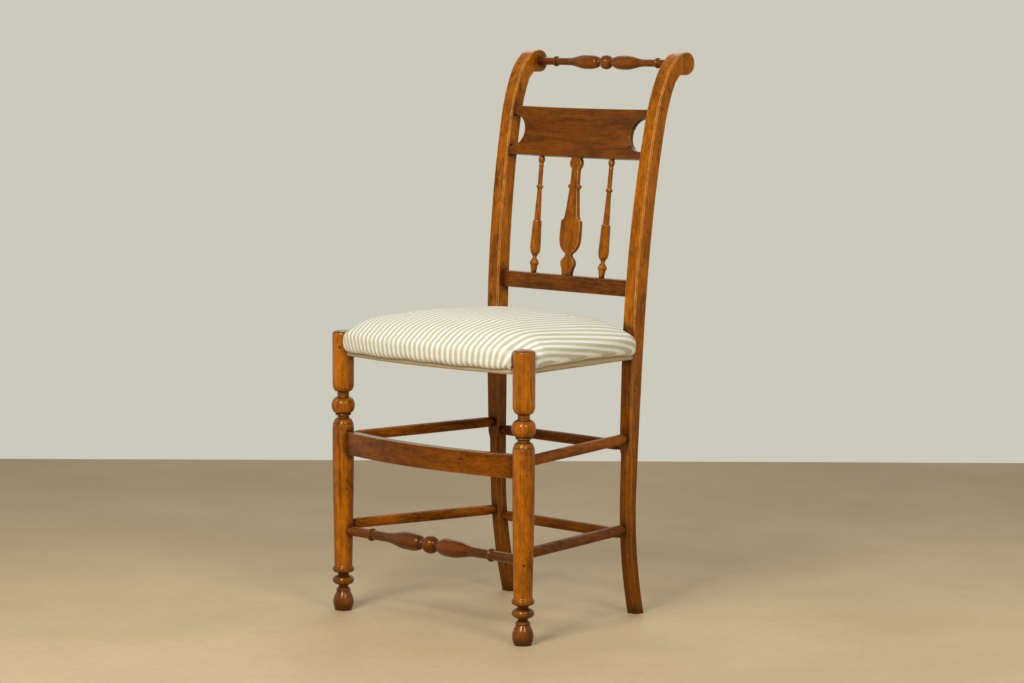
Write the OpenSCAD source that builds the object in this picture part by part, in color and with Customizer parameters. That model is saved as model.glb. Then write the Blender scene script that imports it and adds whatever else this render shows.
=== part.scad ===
// Side chair in fruitwood: turned front legs, scrolled back stiles, a turned crest spindle,
// a tablet over two spindles and a splat, and a stuffed seat between the posts.
// Origin on the floor, in the middle of the chair. Front is -Y, up is +Z.

/* [Overall] */
// Height of the scrolls above the floor
total_h = 898; // [870:1:960]
// Distance between the axes of the front legs
leg_spacing = 406; // [380:1:440]
// From the front leg axis to the front face of the stiles, at the seat
seat_depth = 284.2; // [260:0.2:320]
// Clearance of every tenon in its mortise, all round
fit = 0.1; // [0.05:0.05:0.2]

/* [Front legs] */
// Height of the leg up to the rim of its top
leg_h = 450; // [435:1:465]
// Diameter of the plain upper part
leg_d = 35; // [33:0.5:38]
// Diameter just above the ankle
leg_low_d = 29; // [27:0.5:31]
// Diameter of the ball
ball_d = 37.8; // [36:0.1:40]
// From the top of the leg down to the middle of the ball
ball_drop = 117.5; // [114:0.5:122]
// Diameter of the necks beside the ball
neck_d = 19; // [17:0.5:21]
// Height of the ankle, from the floor to the collar
ankle_h = 66; // [62:0.5:70]
// Diameter of the ankle's collar and disc
collar_d = 35; // [33:0.5:37]
// Diameter of the foot
foot_d = 32.4; // [30:0.2:35]
// Diameter of the ankle's thinnest neck
ankle_neck_d = 14.5; // [13:0.5:17]

/* [Back stiles] */
// Thickness of the plank that the stiles are sawn from
stile_w = 25; // [22:0.5:28]
// Depth of the stile at the foot
stile_foot_t = 17.5; // [16:0.5:20]
// Depth of the stile just above the seat, where it is deepest
stile_seat_t = 26; // [22:0.5:28]
// Depth of the stile under the scroll
stile_neck_t = 23; // [21:0.5:26]
// Outer faces of the two stiles, apart, at the floor
stile_spread = 308.4; // [290:0.2:330]
// Outward lean of each stile, in degrees
stile_lean = 1.39; // [0.5:0.01:2]
// Radius of the foot's curve
foot_curve_r = 776; // [700:2:900]
// Angle through which the foot sweeps back, in degrees
foot_angle = 14.5; // [11:0.5:16]
// Radius of the back's long curve
back_curve_r = 1995; // [1850:5:2200]
// Angle of the back's long curve, in degrees
back_angle = 11.6; // [10:0.1:13]
// Radius of the scroll's round end
scroll_r = 18.3; // [16:0.1:20]
// Chamfer on the front arrises above the side stretchers
arris = 2; // [1:0.1:3]
// Chamfer on the front arrises below the side stretchers
low_chamfer = 5.5; // [3:0.1:7]

/* [Back] */
// Height of the tablet's lower edge
tablet_z = 728.5; // [715:0.5:740]
// Height of the tablet, measured along its slope
tablet_h = 80.5; // [74:0.5:86]
// Thickness of the tablet
tablet_t = 9; // [8:0.5:11]
// How far the tablet lies behind the front of the stiles
tablet_set = 2.8; // [2:0.1:6]
// Backward slope of the tablet, in degrees
tablet_slope = 12.5; // [10:0.5:14]
// How far the tablet's middle is dished behind its ends
tablet_dish = 7; // [3:0.5:9]
// Radius of the half-moon at each end of the tablet
moon_r = 27; // [22:0.5:30]
// From the seat rails' under side up to the lower back rail's
low_rail_lift = 96.6; // [86:0.2:106]
// Height of the lower back rail
low_rail_h = 26; // [22:0.5:30]
// Thickness of the lower back rail
low_rail_t = 13; // [11:0.5:14]
// How far the lower back rail lies behind the front of the stiles
low_rail_set = 9.5; // [7:0.1:11]
// Distance of the spindles from the middle, at the bottom
spindle_x = 76; // [68:0.5:84]
// How much further apart the spindles' tops are, each
spindle_fan = 2; // [0:0.5:4]
// Diameter of the spindle's body
spindle_d = 17.4; // [15:0.2:19]
// Width of the splat's shield
splat_w = 42.4; // [38:0.2:46]
// Thickness of the splat
splat_t = 7.5; // [6:0.5:9]
// Diameter of the crest spindle's ball and bulbs
crest_d = 24; // [22:0.5:26]
// Diameter of the crest spindle's shaft
crest_shaft_d = 12.4; // [11:0.2:14]

/* [Seat] */
// From the top of the leg down to the seat rails' under side
rail_drop = 36; // [30:1:45]
// Height of the seat rails
seat_rail_h = 26; // [22:0.5:30]
// Thickness of the seat rails
seat_rail_t = 19; // [16:0.5:20]
// How far the front rail bows forward
front_bow = 24; // [18:0.5:30]
// How far the cover bulges past the rails
cover_bulge = 14; // [11:0.5:17]
// Height of the cover's lower edge above the rails' under side
cover_lift = 6.5; // [4:0.5:9]
// Height of the crown above the top of the rails
crown_h = 49; // [40:0.5:60]
// Thickness of the cover and its wadding at the crown
cover_t = 3; // [2.5:0.5:4]
// Thickness of the lining cloth
lining_t = 1.2; // [1:0.1:1.5]
// Width of the webbing
webbing_w = 50; // [44:1:56]
// Thickness of the webbing
webbing_t = 1.2; // [1:0.1:1.5]

/* [Stretchers] */
// From the middle of the ball down to the apron board's under side
apron_drop = 77.5; // [70:0.5:83]
// Height of the apron board
apron_h = 36; // [32:0.5:40]
// Thickness of the apron board
apron_t = 15; // [13:0.5:17]
// How far the apron bows forward
apron_bow = 28; // [22:0.5:32]
// Height of the turned front stretcher's axis
turned_z = 130.4; // [126:0.2:134]
// Diameter of the turned stretcher's ball and bulbs
turned_d = 29; // [26:0.5:31]
// Diameter of the turned stretcher's shaft
turned_shaft_d = 15.4; // [14:0.2:17]
// Diameter of the side and back stretchers
stretcher_d = 17; // [15:0.5:18]
// Diameter of the stretchers' round tenons
tenon_d = 9; // [8:0.5:9.5]
// Height of the lower side stretchers
side_low_z = 139.5; // [136:0.5:143]
// From the apron board's under side up to the upper side stretchers, at the front leg
side_up_lift = 26; // [22:0.5:30]
// How much higher the upper side stretchers are at the stile
side_up_rise = 5; // [0:0.5:8]
// Height of the lower back stretcher
back_low_z = 130; // [126:0.5:133]
// How much lower the upper back stretcher is than the upper side stretchers
back_up_drop = 8; // [4:0.5:12]

/* [Hidden] */

$fn = 64;
LEFT = -1;
RIGHT = 1;
// Reach of every cut past the faces that it opens
over = 1;
// Air between a cloth part and the wood beside it
cloth_gap = 0.3;
// Wider air round the raw edges of the inner cloths
cloth_edge = 1;

// Heights that follow the front leg's
ball_z = leg_h - ball_drop;
seat_rail_z = leg_h - rail_drop;
low_rail_z = seat_rail_z + low_rail_lift;
apron_z = ball_z - apron_drop;
side_up_z = apron_z + side_up_lift;
back_up_z = side_up_z - back_up_drop;

// Stile: the front edge, drawn upward, is a chain of arcs, given as [radius, degrees turned]
neck_curve_r = 310;
neck_angle = 13.7;
crest_curve_r = 85;
crest_angle = 26;
top_curve_r = 36;
top_angle = 90 - back_angle - neck_angle - crest_angle;
UPPER_ARCS = [[back_curve_r, back_angle], [neck_curve_r, neck_angle],
    [crest_curve_r, crest_angle], [top_curve_r, top_angle]];
// Length of chain between two stations along the stile
stile_step = 24;
// Most degrees between two stations on a tight curve
station_turn = 8;
// The deep chamfers stop this far under the upper side stretchers, and fade over this height
chamfer_drop = 24;
chamfer_run = 14;
chamfer_z = side_up_z - chamfer_drop;
// Chamfer on the scroll and on the rear arrises
back_arris = 1;

function arcs_rise(arcs, n, a = 0) = n >= len(arcs) ? 0
    : arcs[n][0] * (sin(a + arcs[n][1]) - sin(a)) + arcs_rise(arcs, n + 1, a + arcs[n][1]);
function arcs_sweep(arcs, n, a = 0) = n >= len(arcs) ? 0
    : arcs[n][0] * (cos(a) - cos(a + arcs[n][1])) + arcs_sweep(arcs, n + 1, a + arcs[n][1]);

foot_rise = foot_curve_r * sin(foot_angle);
foot_sweep = foot_curve_r * (1 - cos(foot_angle));
upper_rise = arcs_rise(UPPER_ARCS, 0);
sweep_back = arcs_sweep(UPPER_ARCS, 0);
straight_h = total_h - foot_rise - upper_rise;

// Places in plan
leg_x = leg_spacing / 2;
leg_r = leg_d / 2;
// The front rail and the apron start this far in front of the leg axis
rail_start = 3.2;
front_reach = rail_start + front_bow + cover_bulge;
total_depth = front_reach + seat_depth + sweep_back + scroll_r;
leg_y = front_reach - total_depth / 2;
stile_y = leg_y + seat_depth;
scroll_y = stile_y + sweep_back;
scroll_z = total_h - scroll_r;

function stile_outer(z) = stile_spread / 2 + z * tan(stile_lean);
function stile_inner(z) = stile_outer(z) - stile_w / cos(stile_lean);
function stile_mid(z) = (stile_outer(z) + stile_inner(z)) / 2;

// Seat heights
seat_top_z = seat_rail_z + seat_rail_h;
hessian_z = seat_top_z + 2 * webbing_t;
hessian_t = 1;
stuffing_z = hessian_z + hessian_t;
crown_z = seat_top_z + crown_h;

// Tenons: depth in the legs and stiles, thickness of the flat ones, and width of their shoulders
tenon_len = 13;
stile_tenon_len = 12;
flat_tenon_t = 7;
tenon_shoulder = 4;
peg_d = 4.6;
// Depth of the pegs' heads below the leg's surface
peg_sink = 0.8;

WOOD = [0.62, 0.36, 0.12];
DARK_WOOD = [0.52, 0.29, 0.10];
LINEN = [0.80, 0.72, 0.58];
STRIPED = [0.87, 0.87, 0.76];
JUTE = [0.66, 0.52, 0.34];

// Curves for turned outlines, each a list of [radius, height] from low to high
function bead(z0, z1, r_side, r_mid, n = 12) =
    [for (i = [0 : n]) [r_side + (r_mid - r_side) * sin(180 * i / n),
        z0 + (z1 - z0) * (1 - cos(180 * i / n)) / 2]];
function bulge(z0, z1, r0, r1, rise, n = 12) =
    [for (i = [0 : n]) [r0 + (r1 - r0) * i / n + rise * sin(180 * i / n), z0 + (z1 - z0) * i / n]];
function ogee(z0, z1, r0, r1, n = 10) =
    [for (i = [0 : n]) [r0 + (r1 - r0) * (1 - cos(180 * i / n)) / 2, z0 + (z1 - z0) * i / n]];
function round_out(z0, z1, r0, r1, n = 8) =
    [for (i = [0 : n]) [r0 + (r1 - r0) * sin(90 * i / n), z0 + (z1 - z0) * (1 - cos(90 * i / n))]];
function round_in(z0, z1, r0, r1, n = 8) =
    [for (i = [0 : n]) [r1 + (r0 - r1) * cos(90 * i / n), z0 + (z1 - z0) * sin(90 * i / n)]];
function backward(list) = [for (i = [len(list) - 1 : -1 : 0]) list[i]];
function flipped(list) = [for (p = backward(list)) [p[0], -p[1]]];
function mix(a, b, t) = a + (b - a) * t;
function clamp(v, lo, hi) = min(max(v, lo), hi);
function smooth(t) = let (c = clamp(t, 0, 1)) c * c * (3 - 2 * c);

// The end of a long skin, as triangles zipped between the first half of its ring and the second
function end_cap(n) = let (h = floor(n / 2)) concat(
    [for (i = [0 : h - 2]) each [[i, i + 1, n - 1 - i], [i + 1, n - 2 - i, n - 1 - i]]],
    n % 2 == 1 ? [[h - 1, h, h + 1]] : []);
function middle(ring) = [for (p = ring) 1] * ring / len(ring);

// A closed skin over rings that have as many points each, counter-clockwise as seen from the last.
// Its ends are zipped, or with a hub fan out from their middles
module skin(rings, hub = false) {
    n = len(rings[0]);
    m = len(rings);
    points = concat([for (ring = rings) each ring], hub ? [middle(rings[0]), middle(rings[m - 1])] : []);
    walls = [for (j = [0 : m - 2], i = [0 : n - 1]) let (k = (i + 1) % n)
        each [[j * n + i, (j + 1) * n + k, j * n + k], [j * n + i, (j + 1) * n + i, (j + 1) * n + k]]];
    low = hub ? [for (i = [0 : n - 1]) [i, (i + 1) % n, m * n]] : end_cap(n);
    high = hub ? [for (i = [0 : n - 1]) [(m - 1) * n + (i + 1) % n, (m - 1) * n + i, m * n + 1]]
        : [for (t = end_cap(n)) [for (k = [2 : -1 : 0]) (m - 1) * n + t[k]]];
    polyhedron(points = points, faces = concat(low, walls, high), convexity = 10);
}

// A turned piece that lies along X, from half an outline that starts at its middle
module turned_along_x(half) {
    rotate([0, 90, 0])
        rotate_extrude()
            polygon(concat([[0, -half[len(half) - 1][1]]], flipped(half), half,
                [[0, half[len(half) - 1][1]]]));
}

// Front legs
ankle_share = [0.477, 0.527, 0.573, 0.633, 0.857, 0.94];
leg_top_dome = 3.5;
leg_rim = 3;
foot_base_r = foot_d * 0.41;
ring_r = foot_d * 0.365;
scribe_depth = 0.4;
scribe_h = 1.2;
ball_h = ball_d * 0.7;
neck_h = 9;
shoulder_h = 18;
vase_h = 14;
fillet_h = 3;
collar_flare_h = 8;

function taper(z0, z1, r0, r1, n = 8) =
    [for (i = [0 : n]) [r1 - (r1 - r0) * pow(1 - i / n, 1.6), z0 + (z1 - z0) * i / n]];

ball_low = ball_z - ball_h / 2;
ball_high = ball_z + ball_h / 2;
shoulder_top = ball_low - fillet_h - neck_h / 2;
shoulder_low = shoulder_top - shoulder_h;
vase_low = ball_high + neck_h;

LEG_OUTLINE = concat(
    [[0, 0]],
    bulge(0, ankle_h * ankle_share[0], foot_base_r, ring_r - scribe_h, foot_d / 7),
    bead(ankle_h * ankle_share[0], ankle_h * ankle_share[1], ring_r - scribe_h, ring_r, 6),
    round_in(ankle_h * ankle_share[1], ankle_h * ankle_share[2], ring_r - scribe_h, ankle_neck_d / 2, 4),
    bead(ankle_h * ankle_share[3], ankle_h * ankle_share[4], ankle_neck_d / 2 + scribe_h, collar_d / 2),
    [[neck_d / 2 - scribe_h / 2, ankle_h * ankle_share[4] + scribe_h],
        [neck_d / 2 - scribe_h / 2, ankle_h * ankle_share[5]]],
    round_out(ankle_h * ankle_share[5], ankle_h, collar_d * 0.37, collar_d / 2, 5),
    [[collar_d / 2, ankle_h + scribe_h * 2]],
    ogee(ankle_h + scribe_h * 2, ankle_h + collar_flare_h, collar_d / 2 - scribe_depth, leg_low_d / 2, 6),
    taper(ankle_h + collar_flare_h + scribe_h, shoulder_low - 3 * scribe_h, leg_low_d / 2, leg_r),
    [[leg_r, shoulder_low - 2 * scribe_h], [leg_r - scribe_depth, shoulder_low - 1.5 * scribe_h],
        [leg_r, shoulder_low - scribe_h]],
    round_in(shoulder_low, shoulder_top, leg_r, neck_d / 2 + scribe_depth),
    [[neck_d / 2, shoulder_top + scribe_depth], [neck_d / 2, ball_low - fillet_h]],
    bead(ball_low - fillet_h, ball_low, neck_d / 2 + scribe_h, neck_d / 2 + 3 * scribe_h, 6),
    bead(ball_low, ball_high, neck_d / 2 + scribe_depth, ball_d / 2, 16),
    [[neck_d / 2, ball_high + scribe_h], [neck_d / 2, vase_low - scribe_depth]],
    round_out(vase_low, vase_low + vase_h, neck_d / 2 + scribe_h, leg_r),
    round_in(leg_h - leg_rim, leg_h, leg_r, leg_r - leg_rim / 2, 4),
    round_in(leg_h, leg_h + leg_top_dome, leg_r - leg_rim / 2, 0, 6));

module leg_solid(clearance = 0) {
    translate([0, 0, -clearance])
        cylinder(r = leg_r + clearance, h = leg_h + leg_top_dome + 2 * clearance);
}

module front_leg(side) {
    color(WOOD)
        difference() {
            translate([side * leg_x, leg_y, 0]) rotate_extrude() polygon(LEG_OUTLINE);
            seat_rail_front_tenons(fit);
            side_rail_tenons(side, fit);
            apron_tenons(fit);
            turned_stretcher_tenons(fit);
            side_stretcher_tenons(side, side_low_z, 0, fit);
            side_stretcher_tenons(side, side_up_z, side_up_rise, fit);
            peg_places(fit);
        }
}

// Back stiles
function chain(arcs, step, y, z, a) = len(arcs) == 0 ? [[y, z, a]]
    : let (r = arcs[0][0], turn = arcs[0][1],
        n = max(ceil(r * turn * PI / 180 / step), ceil(turn / station_turn)),
        rest = [for (i = [1 : 1 : len(arcs) - 1]) arcs[i]],
        a1 = a + turn)
    concat([for (i = [0 : n - 1]) let (b = a + turn * i / n)
        [y + r * (cos(a) - cos(b)), z + r * (sin(b) - sin(a)), b]],
        chain(rest, step, y + r * (cos(a) - cos(a1)), z + r * (sin(a1) - sin(a)), a1));

// Stations [y, z, slope] up the front edge, from far enough below the floor for the back of the
// foot to reach it, to the scroll's top
foot_below = stile_foot_t * sin(foot_angle) + 2 * over;
STILE_CHAIN = concat(
    [[stile_y + foot_sweep + foot_below * tan(foot_angle), -foot_below, -foot_angle]],
    chain([[foot_curve_r, foot_angle]], stile_step, stile_y + foot_sweep, 0, -foot_angle),
    [for (i = [0 : 4]) let (z = chamfer_z + chamfer_run * i / 4) if (z > foot_rise) [stile_y, z, 0]],
    chain(UPPER_ARCS, stile_step, stile_y, foot_rise + straight_h, 0));

// The stile thickens from this share of the foot's curve up to the lower back rail
thicken_share = 0.8;
function stile_t(z) = let (z0 = foot_rise * thicken_share)
    z < low_rail_z
        ? mix(stile_foot_t, stile_seat_t, smooth((z - z0) / (low_rail_z - z0)))
        : mix(stile_seat_t, stile_neck_t, smooth((z - low_rail_z) / (scroll_z - scroll_r - low_rail_z)));
function front_chamfer(z, a) = z < chamfer_z + chamfer_run
    ? mix(low_chamfer, arris, smooth((z - chamfer_z) / chamfer_run))
    : mix(arris, back_arris, smooth((a - 50) / 35));

// The stile seen from the side, up the front edge, round the scroll and down the back, each point
// as [y, z, way inward along y and z, chamfer]
throat_h = scroll_r * 0.3;
cusp_share = 0.82;
function stile_back(s) = let (t = stile_t(s[1])) [s[0] + t * cos(s[2]), s[1] - t * sin(s[2])];
STILE_OUTLINE = concat(
    [for (s = STILE_CHAIN) [s[0], s[1], cos(s[2]), -sin(s[2]), front_chamfer(s[1], s[2])]],
    [for (a = [10 : 10 : 180]) [scroll_y + scroll_r * sin(a), scroll_z + scroll_r * cos(a),
        -sin(a), -cos(a), back_arris]],
    [[scroll_y - scroll_r * cusp_share, scroll_z - scroll_r, -0.6, 0.8, back_arris]],
    [for (s = backward(STILE_CHAIN)) let (p = stile_back(s))
        if (p[1] < scroll_z - scroll_r - throat_h) [p[0], p[1], -cos(s[2]), sin(s[2]), back_arris]]);

// Rings of the stile at its side faces, inside the chamfers, and at the edges of its front and back
function face_ring(x) = [for (p = backward(STILE_OUTLINE)) [x, p[0] + p[2] * p[4], p[1] + p[3] * p[4]]];
function edge_ring(x, way) = [for (p = backward(STILE_OUTLINE)) [x + way * p[4], p[0], p[1]]];

// Front edge of the leaning stile at a height, in the chair's own frame
function edge_y(chain, z, i = 0) = i >= len(chain) - 2 || chain[i + 1][1] >= z
    ? let (p = chain[i], q = chain[i + 1]) mix(p[0], q[0], (z - p[1]) / (q[1] - p[1]))
    : edge_y(chain, z, i + 1);
function stile_front(z) = edge_y(STILE_CHAIN, z);

module stile_shape() {
    skin([face_ring(0), edge_ring(0, 1), edge_ring(stile_w, -1), face_ring(stile_w)]);
}

// Puts what is drawn on the right side, inner face at x = 0, onto either side
module on_stile(side) {
    mirror([side == LEFT ? 1 : 0, 0, 0])
        translate([stile_spread / 2, 0, 0])
            rotate([0, stile_lean, 0])
                translate([-stile_w, 0, 0])
                    children();
}

module below_floor() {
    translate([-leg_spacing, -total_depth, -2 * stile_w])
        cube([2 * leg_spacing, 2 * total_depth, 2 * stile_w]);
}

module stile(side) {
    color(WOOD)
        difference() {
            on_stile(side) stile_shape();
            below_floor();
            crest_tenons(fit);
            tablet_tenons(fit);
            low_rail_tenons(fit);
            back_rail_tenons(fit);
            side_rail_tenons(side, fit);
            side_stretcher_tenons(side, side_low_z, 0, fit);
            side_stretcher_tenons(side, side_up_z, side_up_rise, fit);
            back_stretcher_tenons(back_low_z, fit);
            back_stretcher_tenons(back_up_z, fit);
        }
}

// The room between the two leaning inner faces, down from a top height
module between_stiles(y0, y1, z0, z1) {
    translate([0, y0, 0])
        rotate([90, 0, 0])
            mirror([0, 0, 1])
                linear_extrude(y1 - y0)
                    polygon([[-stile_inner(z0), z0], [stile_inner(z0), z0],
                        [stile_inner(z1), z1], [-stile_inner(z1), z1]]);
}

// Crest spindle, between the scrolls
crest_half = stile_inner(scroll_z);
crest_r = crest_d / 2;
crest_shaft_r = crest_shaft_d / 2;
crest_neck_w = crest_r * 0.42;
crest_bulb_x = crest_half * 0.26;
crest_taper_x = crest_half * 0.56;
crest_ring_x = crest_half * 0.75;
crest_ring_w = 5;
crest_tenon_d = 10;

// Half of a spindle with a ball in the middle, a bulb and a ring on each side
function ball_and_bulb(r, shaft_r, neck_w, bulb_x, taper_x, ring_x, ring_w, end_r, end_x) = concat(
    [for (i = [0 : 9]) [r * cos(7.5 * i), r * sin(7.5 * i)]],
    [[shaft_r, r + neck_w * 0.3], [shaft_r, r + neck_w]],
    [for (i = [1 : 8]) let (a = 90 * i / 8)
        [shaft_r + (r - shaft_r) * sin(a), bulb_x - (bulb_x - r - neck_w) * cos(a)]],
    ogee(bulb_x + neck_w, taper_x, r, shaft_r, 12),
    [[shaft_r, ring_x - ring_w / 2]],
    bead(ring_x - ring_w / 2, ring_x + ring_w / 2, shaft_r + ring_w / 8, shaft_r + ring_w / 2, 8),
    [[shaft_r, ring_x + ring_w / 2 + ring_w / 8], [end_r, end_x]]);

module crest_tenons(clearance = 0) {
    reach = stile_inner(scroll_z) + stile_tenon_len + clearance;
    translate([-reach, scroll_y, scroll_z])
        rotate([0, 90, 0]) cylinder(d = crest_tenon_d + 2 * clearance, h = 2 * reach);
}

module crest_spindle() {
    color(WOOD) {
        intersection() {
            translate([0, scroll_y, scroll_z])
                turned_along_x(ball_and_bulb(crest_r, crest_shaft_r, crest_neck_w, crest_bulb_x,
                    crest_taper_x, crest_ring_x, crest_ring_w, crest_shaft_r * 1.1,
                    crest_half + over));
            between_stiles(scroll_y - crest_d, scroll_y + crest_d, scroll_z - crest_d, scroll_z + crest_d);
        }
        crest_tenons();
    }
}

// Tablet: a dished board that follows the slope of the stiles
tablet_half = stile_inner(tablet_z + tablet_h);
tablet_y = stile_front(tablet_z) + tablet_set;
// Height of the moon's centre, as a share of the tablet's
moon_z_share = 0.49;
// How far each moon's centre lies inside the stile's face, left and right, as shares of its radius
moon_in_share = [0.04, 0.25];
function moon_x(side) = stile_inner(tablet_z + tablet_h / 2) - moon_r * moon_in_share[side > 0 ? 1 : 0];
tablet_tenon_t = 5;

function dish_arc(half, dish, set, n = 24) =
    let (r = (half * half + dish * dish) / (2 * dish), a = asin(half / r))
    [for (i = [0 : n]) let (b = -a + 2 * a * i / n)
        [r * sin(b), set + dish - r * (1 - cos(b)) ]];

module tablet_place() {
    translate([0, tablet_y, tablet_z]) rotate([-tablet_slope, 0, 0]) children();
}

module tablet_board(half, t, set, z0, z1) {
    translate([0, 0, z0])
        linear_extrude(z1 - z0)
            polygon(concat(dish_arc(half, tablet_dish, set), backward(dish_arc(half, tablet_dish, set + t))));
}

module tablet_moons(r) {
    for (side = [LEFT, RIGHT])
        translate([side * moon_x(side), -tablet_t, tablet_h * moon_z_share])
            rotate([-90, 0, 0]) cylinder(r = r, h = 3 * tablet_t + tablet_dish);
}

module tablet_tenons(clearance = 0) {
    set = (tablet_t - tablet_tenon_t) / 2;
    reach = stile_inner(tablet_z) + stile_tenon_len;
    for (side = [LEFT, RIGHT], end = [0, 1])
        tablet_place()
            translate([side > 0 ? 0 : -reach - clearance, set - clearance,
                mix(tenon_shoulder, tablet_h - tenon_shoulder - tablet_h * 0.15, end) - clearance])
                cube([reach + clearance, tablet_tenon_t + 2 * clearance,
                    tablet_h * 0.15 + 2 * clearance]);
}

module back_tablet() {
    color(WOOD)
        difference() {
            union() {
                intersection() {
                    tablet_place() tablet_board(tablet_half + over, tablet_t, 0, 0, tablet_h);
                    between_stiles(tablet_y - tablet_t, tablet_y + tablet_h / 2 + tablet_t,
                        tablet_z - tablet_t, tablet_z + tablet_h + tablet_t);
                }
                difference() {
                    tablet_tenons();
                    between_stiles(tablet_y - tablet_t, tablet_y + tablet_h / 2 + tablet_t,
                        tablet_z - tablet_t, tablet_z + tablet_h + tablet_t);
                }
            }
            tablet_place() tablet_moons(moon_r);
            spindle_tenons(fit);
            splat_tenons(fit);
        }
}

// Lower back rail
low_rail_y = stile_front(low_rail_z + low_rail_h / 2) + low_rail_set;

module low_rail_tenons(clearance = 0) {
    reach = stile_inner(low_rail_z) + stile_tenon_len + clearance;
    translate([-reach, low_rail_y + (low_rail_t - flat_tenon_t) / 2 - clearance,
        low_rail_z + tenon_shoulder - clearance])
        cube([2 * reach, flat_tenon_t + 2 * clearance, low_rail_h - 2 * tenon_shoulder + 2 * clearance]);
}

module lower_back_rail() {
    color(DARK_WOOD)
        difference() {
            union() {
                between_stiles(low_rail_y, low_rail_y + low_rail_t, low_rail_z, low_rail_z + low_rail_h);
                low_rail_tenons();
            }
            spindle_tenons(fit);
            splat_tenons(fit);
        }
}

// Back spindles, from the lower rail up to the tablet
spindle_low = [spindle_x, low_rail_y + low_rail_t / 2, low_rail_z + low_rail_h];
tablet_mid_y = tablet_y + tablet_t / 2 + tablet_dish * 0.75;
spindle_high = [spindle_x + spindle_fan, tablet_mid_y, tablet_z];
spindle_run = norm(spindle_high - spindle_low);
spindle_tenon_d = 5;
spindle_tenon_len = 7;
spindle_r = spindle_d / 2;
// Heights along the spindle, as shares of its run
spindle_share = [0.012, 0.067, 0.085, 0.13, 0.15, 0.165, 0.22, 0.435, 0.442, 0.715, 0.742, 0.9, 0.915, 0.99];

SPINDLE_OUTLINE = let (s = spindle_share * spindle_run, r = spindle_r) concat(
    [[0, 0], [r * 0.46, 0], [r * 0.54, s[0]], [r * 0.7, s[1]]],
    bead(s[1], s[2] + spindle_run * 0.012, r * 0.7, r * 0.87, 6),
    ogee(s[2] + spindle_run * 0.014, s[3], r * 0.7, r * 0.36, 6),
    bead(s[3] + spindle_run * 0.012, s[4], r * 0.44, r * 0.57, 6),
    round_out(s[4] + spindle_run * 0.004, s[6], r * 0.5, r, 8),
    [[r * 0.84, s[7]]],
    [[r * 0.8, s[8]], [r * 0.61, s[8] + spindle_run * 0.004]],
    ogee(s[8] + spindle_run * 0.006, s[9], r * 0.61, r * 0.44, 8),
    bead(s[9], s[10], r * 0.46, r * 0.67, 8),
    [[r * 0.43, s[10] + spindle_run * 0.006], [r * 0.42, s[11]]],
    bead(s[11], s[12], r * 0.42, r * 0.48, 4),
    bulge(s[12] + spindle_run * 0.01, s[13], r * 0.38, r * 0.42, r * 0.22, 10),
    [[r * 0.42, spindle_run], [0, spindle_run]]);

module on_spindle(side) {
    lean = atan((spindle_high[1] - spindle_low[1]) / (spindle_high[2] - spindle_low[2]));
    fan = asin(spindle_fan / spindle_run);
    translate([side * spindle_low[0], spindle_low[1], spindle_low[2]])
        rotate([-lean, side * fan, 0])
            children();
}

module spindle_tenons(clearance = 0) {
    for (side = [LEFT, RIGHT])
        on_spindle(side)
            translate([0, 0, -spindle_tenon_len - clearance])
                cylinder(d = spindle_tenon_d + 2 * clearance,
                    h = spindle_run + 2 * spindle_tenon_len + 2 * clearance);
}

module back_spindle(side) {
    color(WOOD) {
        intersection() {
            on_spindle(side) rotate_extrude() polygon(SPINDLE_OUTLINE);
            below_tablet();
        }
        intersection() {
            spindle_tenons();
            translate([side > 0 ? 0 : -leg_spacing, -total_depth, 0])
                cube([leg_spacing, 2 * total_depth, total_h]);
        }
    }
}

// Everything between the lower rail's top and the tablet's lower edge
module below_tablet() {
    difference() {
        translate([-leg_spacing, 0, low_rail_z + low_rail_h])
            cube([2 * leg_spacing, total_depth, tablet_z]);
        tablet_place()
            translate([-leg_spacing, -total_depth, 0])
                cube([2 * leg_spacing, 2 * total_depth, total_h]);
    }
}

// Splat: half its outline as [share of the shield's half width, share of its height]
splat_y_low = low_rail_y + (low_rail_t - splat_t) / 2;
splat_y_high = tablet_y + tablet_dish + (tablet_t - splat_t) / 2;
splat_rise = tablet_z - low_rail_z - low_rail_h;
splat_lean = atan((splat_y_high - splat_y_low) / splat_rise);
splat_run = splat_rise / cos(splat_lean);
splat_tenon_w = 12;
SPLAT_OUTLINE_share = [
    [0.42, 0], [0.44, 0.02], [0.53, 0.06], [0.64, 0.08], [0.68, 0.098], [0.655, 0.118], [0.52, 0.138],
    [0.34, 0.156], [0.265, 0.166], [0.265, 0.184], [0.4, 0.19], [0.5, 0.199], [0.68, 0.216],
    [0.84, 0.24], [0.95, 0.27], [1, 0.31], [1, 0.36], [0.985, 0.42], [0.965, 0.453], [0.93, 0.462],
    [0.8, 0.468], [0.71, 0.48], [0.65, 0.495], [0.62, 0.512], [0.54, 0.58], [0.45, 0.67],
    [0.385, 0.729], [0.49, 0.732], [0.535, 0.74], [0.545, 0.748], [0.53, 0.756], [0.47, 0.763],
    [0.355, 0.766], [0.335, 0.83], [0.33, 0.893], [0.36, 0.898], [0.48, 0.912], [0.55, 0.93],
    [0.565, 0.948], [0.525, 0.968], [0.44, 0.982], [0.42, 1]];

module splat_place() {
    translate([0, splat_y_low, low_rail_z + low_rail_h]) rotate([-splat_lean, 0, 0]) children();
}

module splat_tenons(clearance = 0) {
    splat_place()
        translate([-splat_tenon_w / 2 - clearance, splat_t / 4 - clearance, -spindle_tenon_len - clearance])
            cube([splat_tenon_w + 2 * clearance, splat_t / 2 + 2 * clearance,
                splat_run + 2 * spindle_tenon_len + 2 * clearance]);
}

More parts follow.
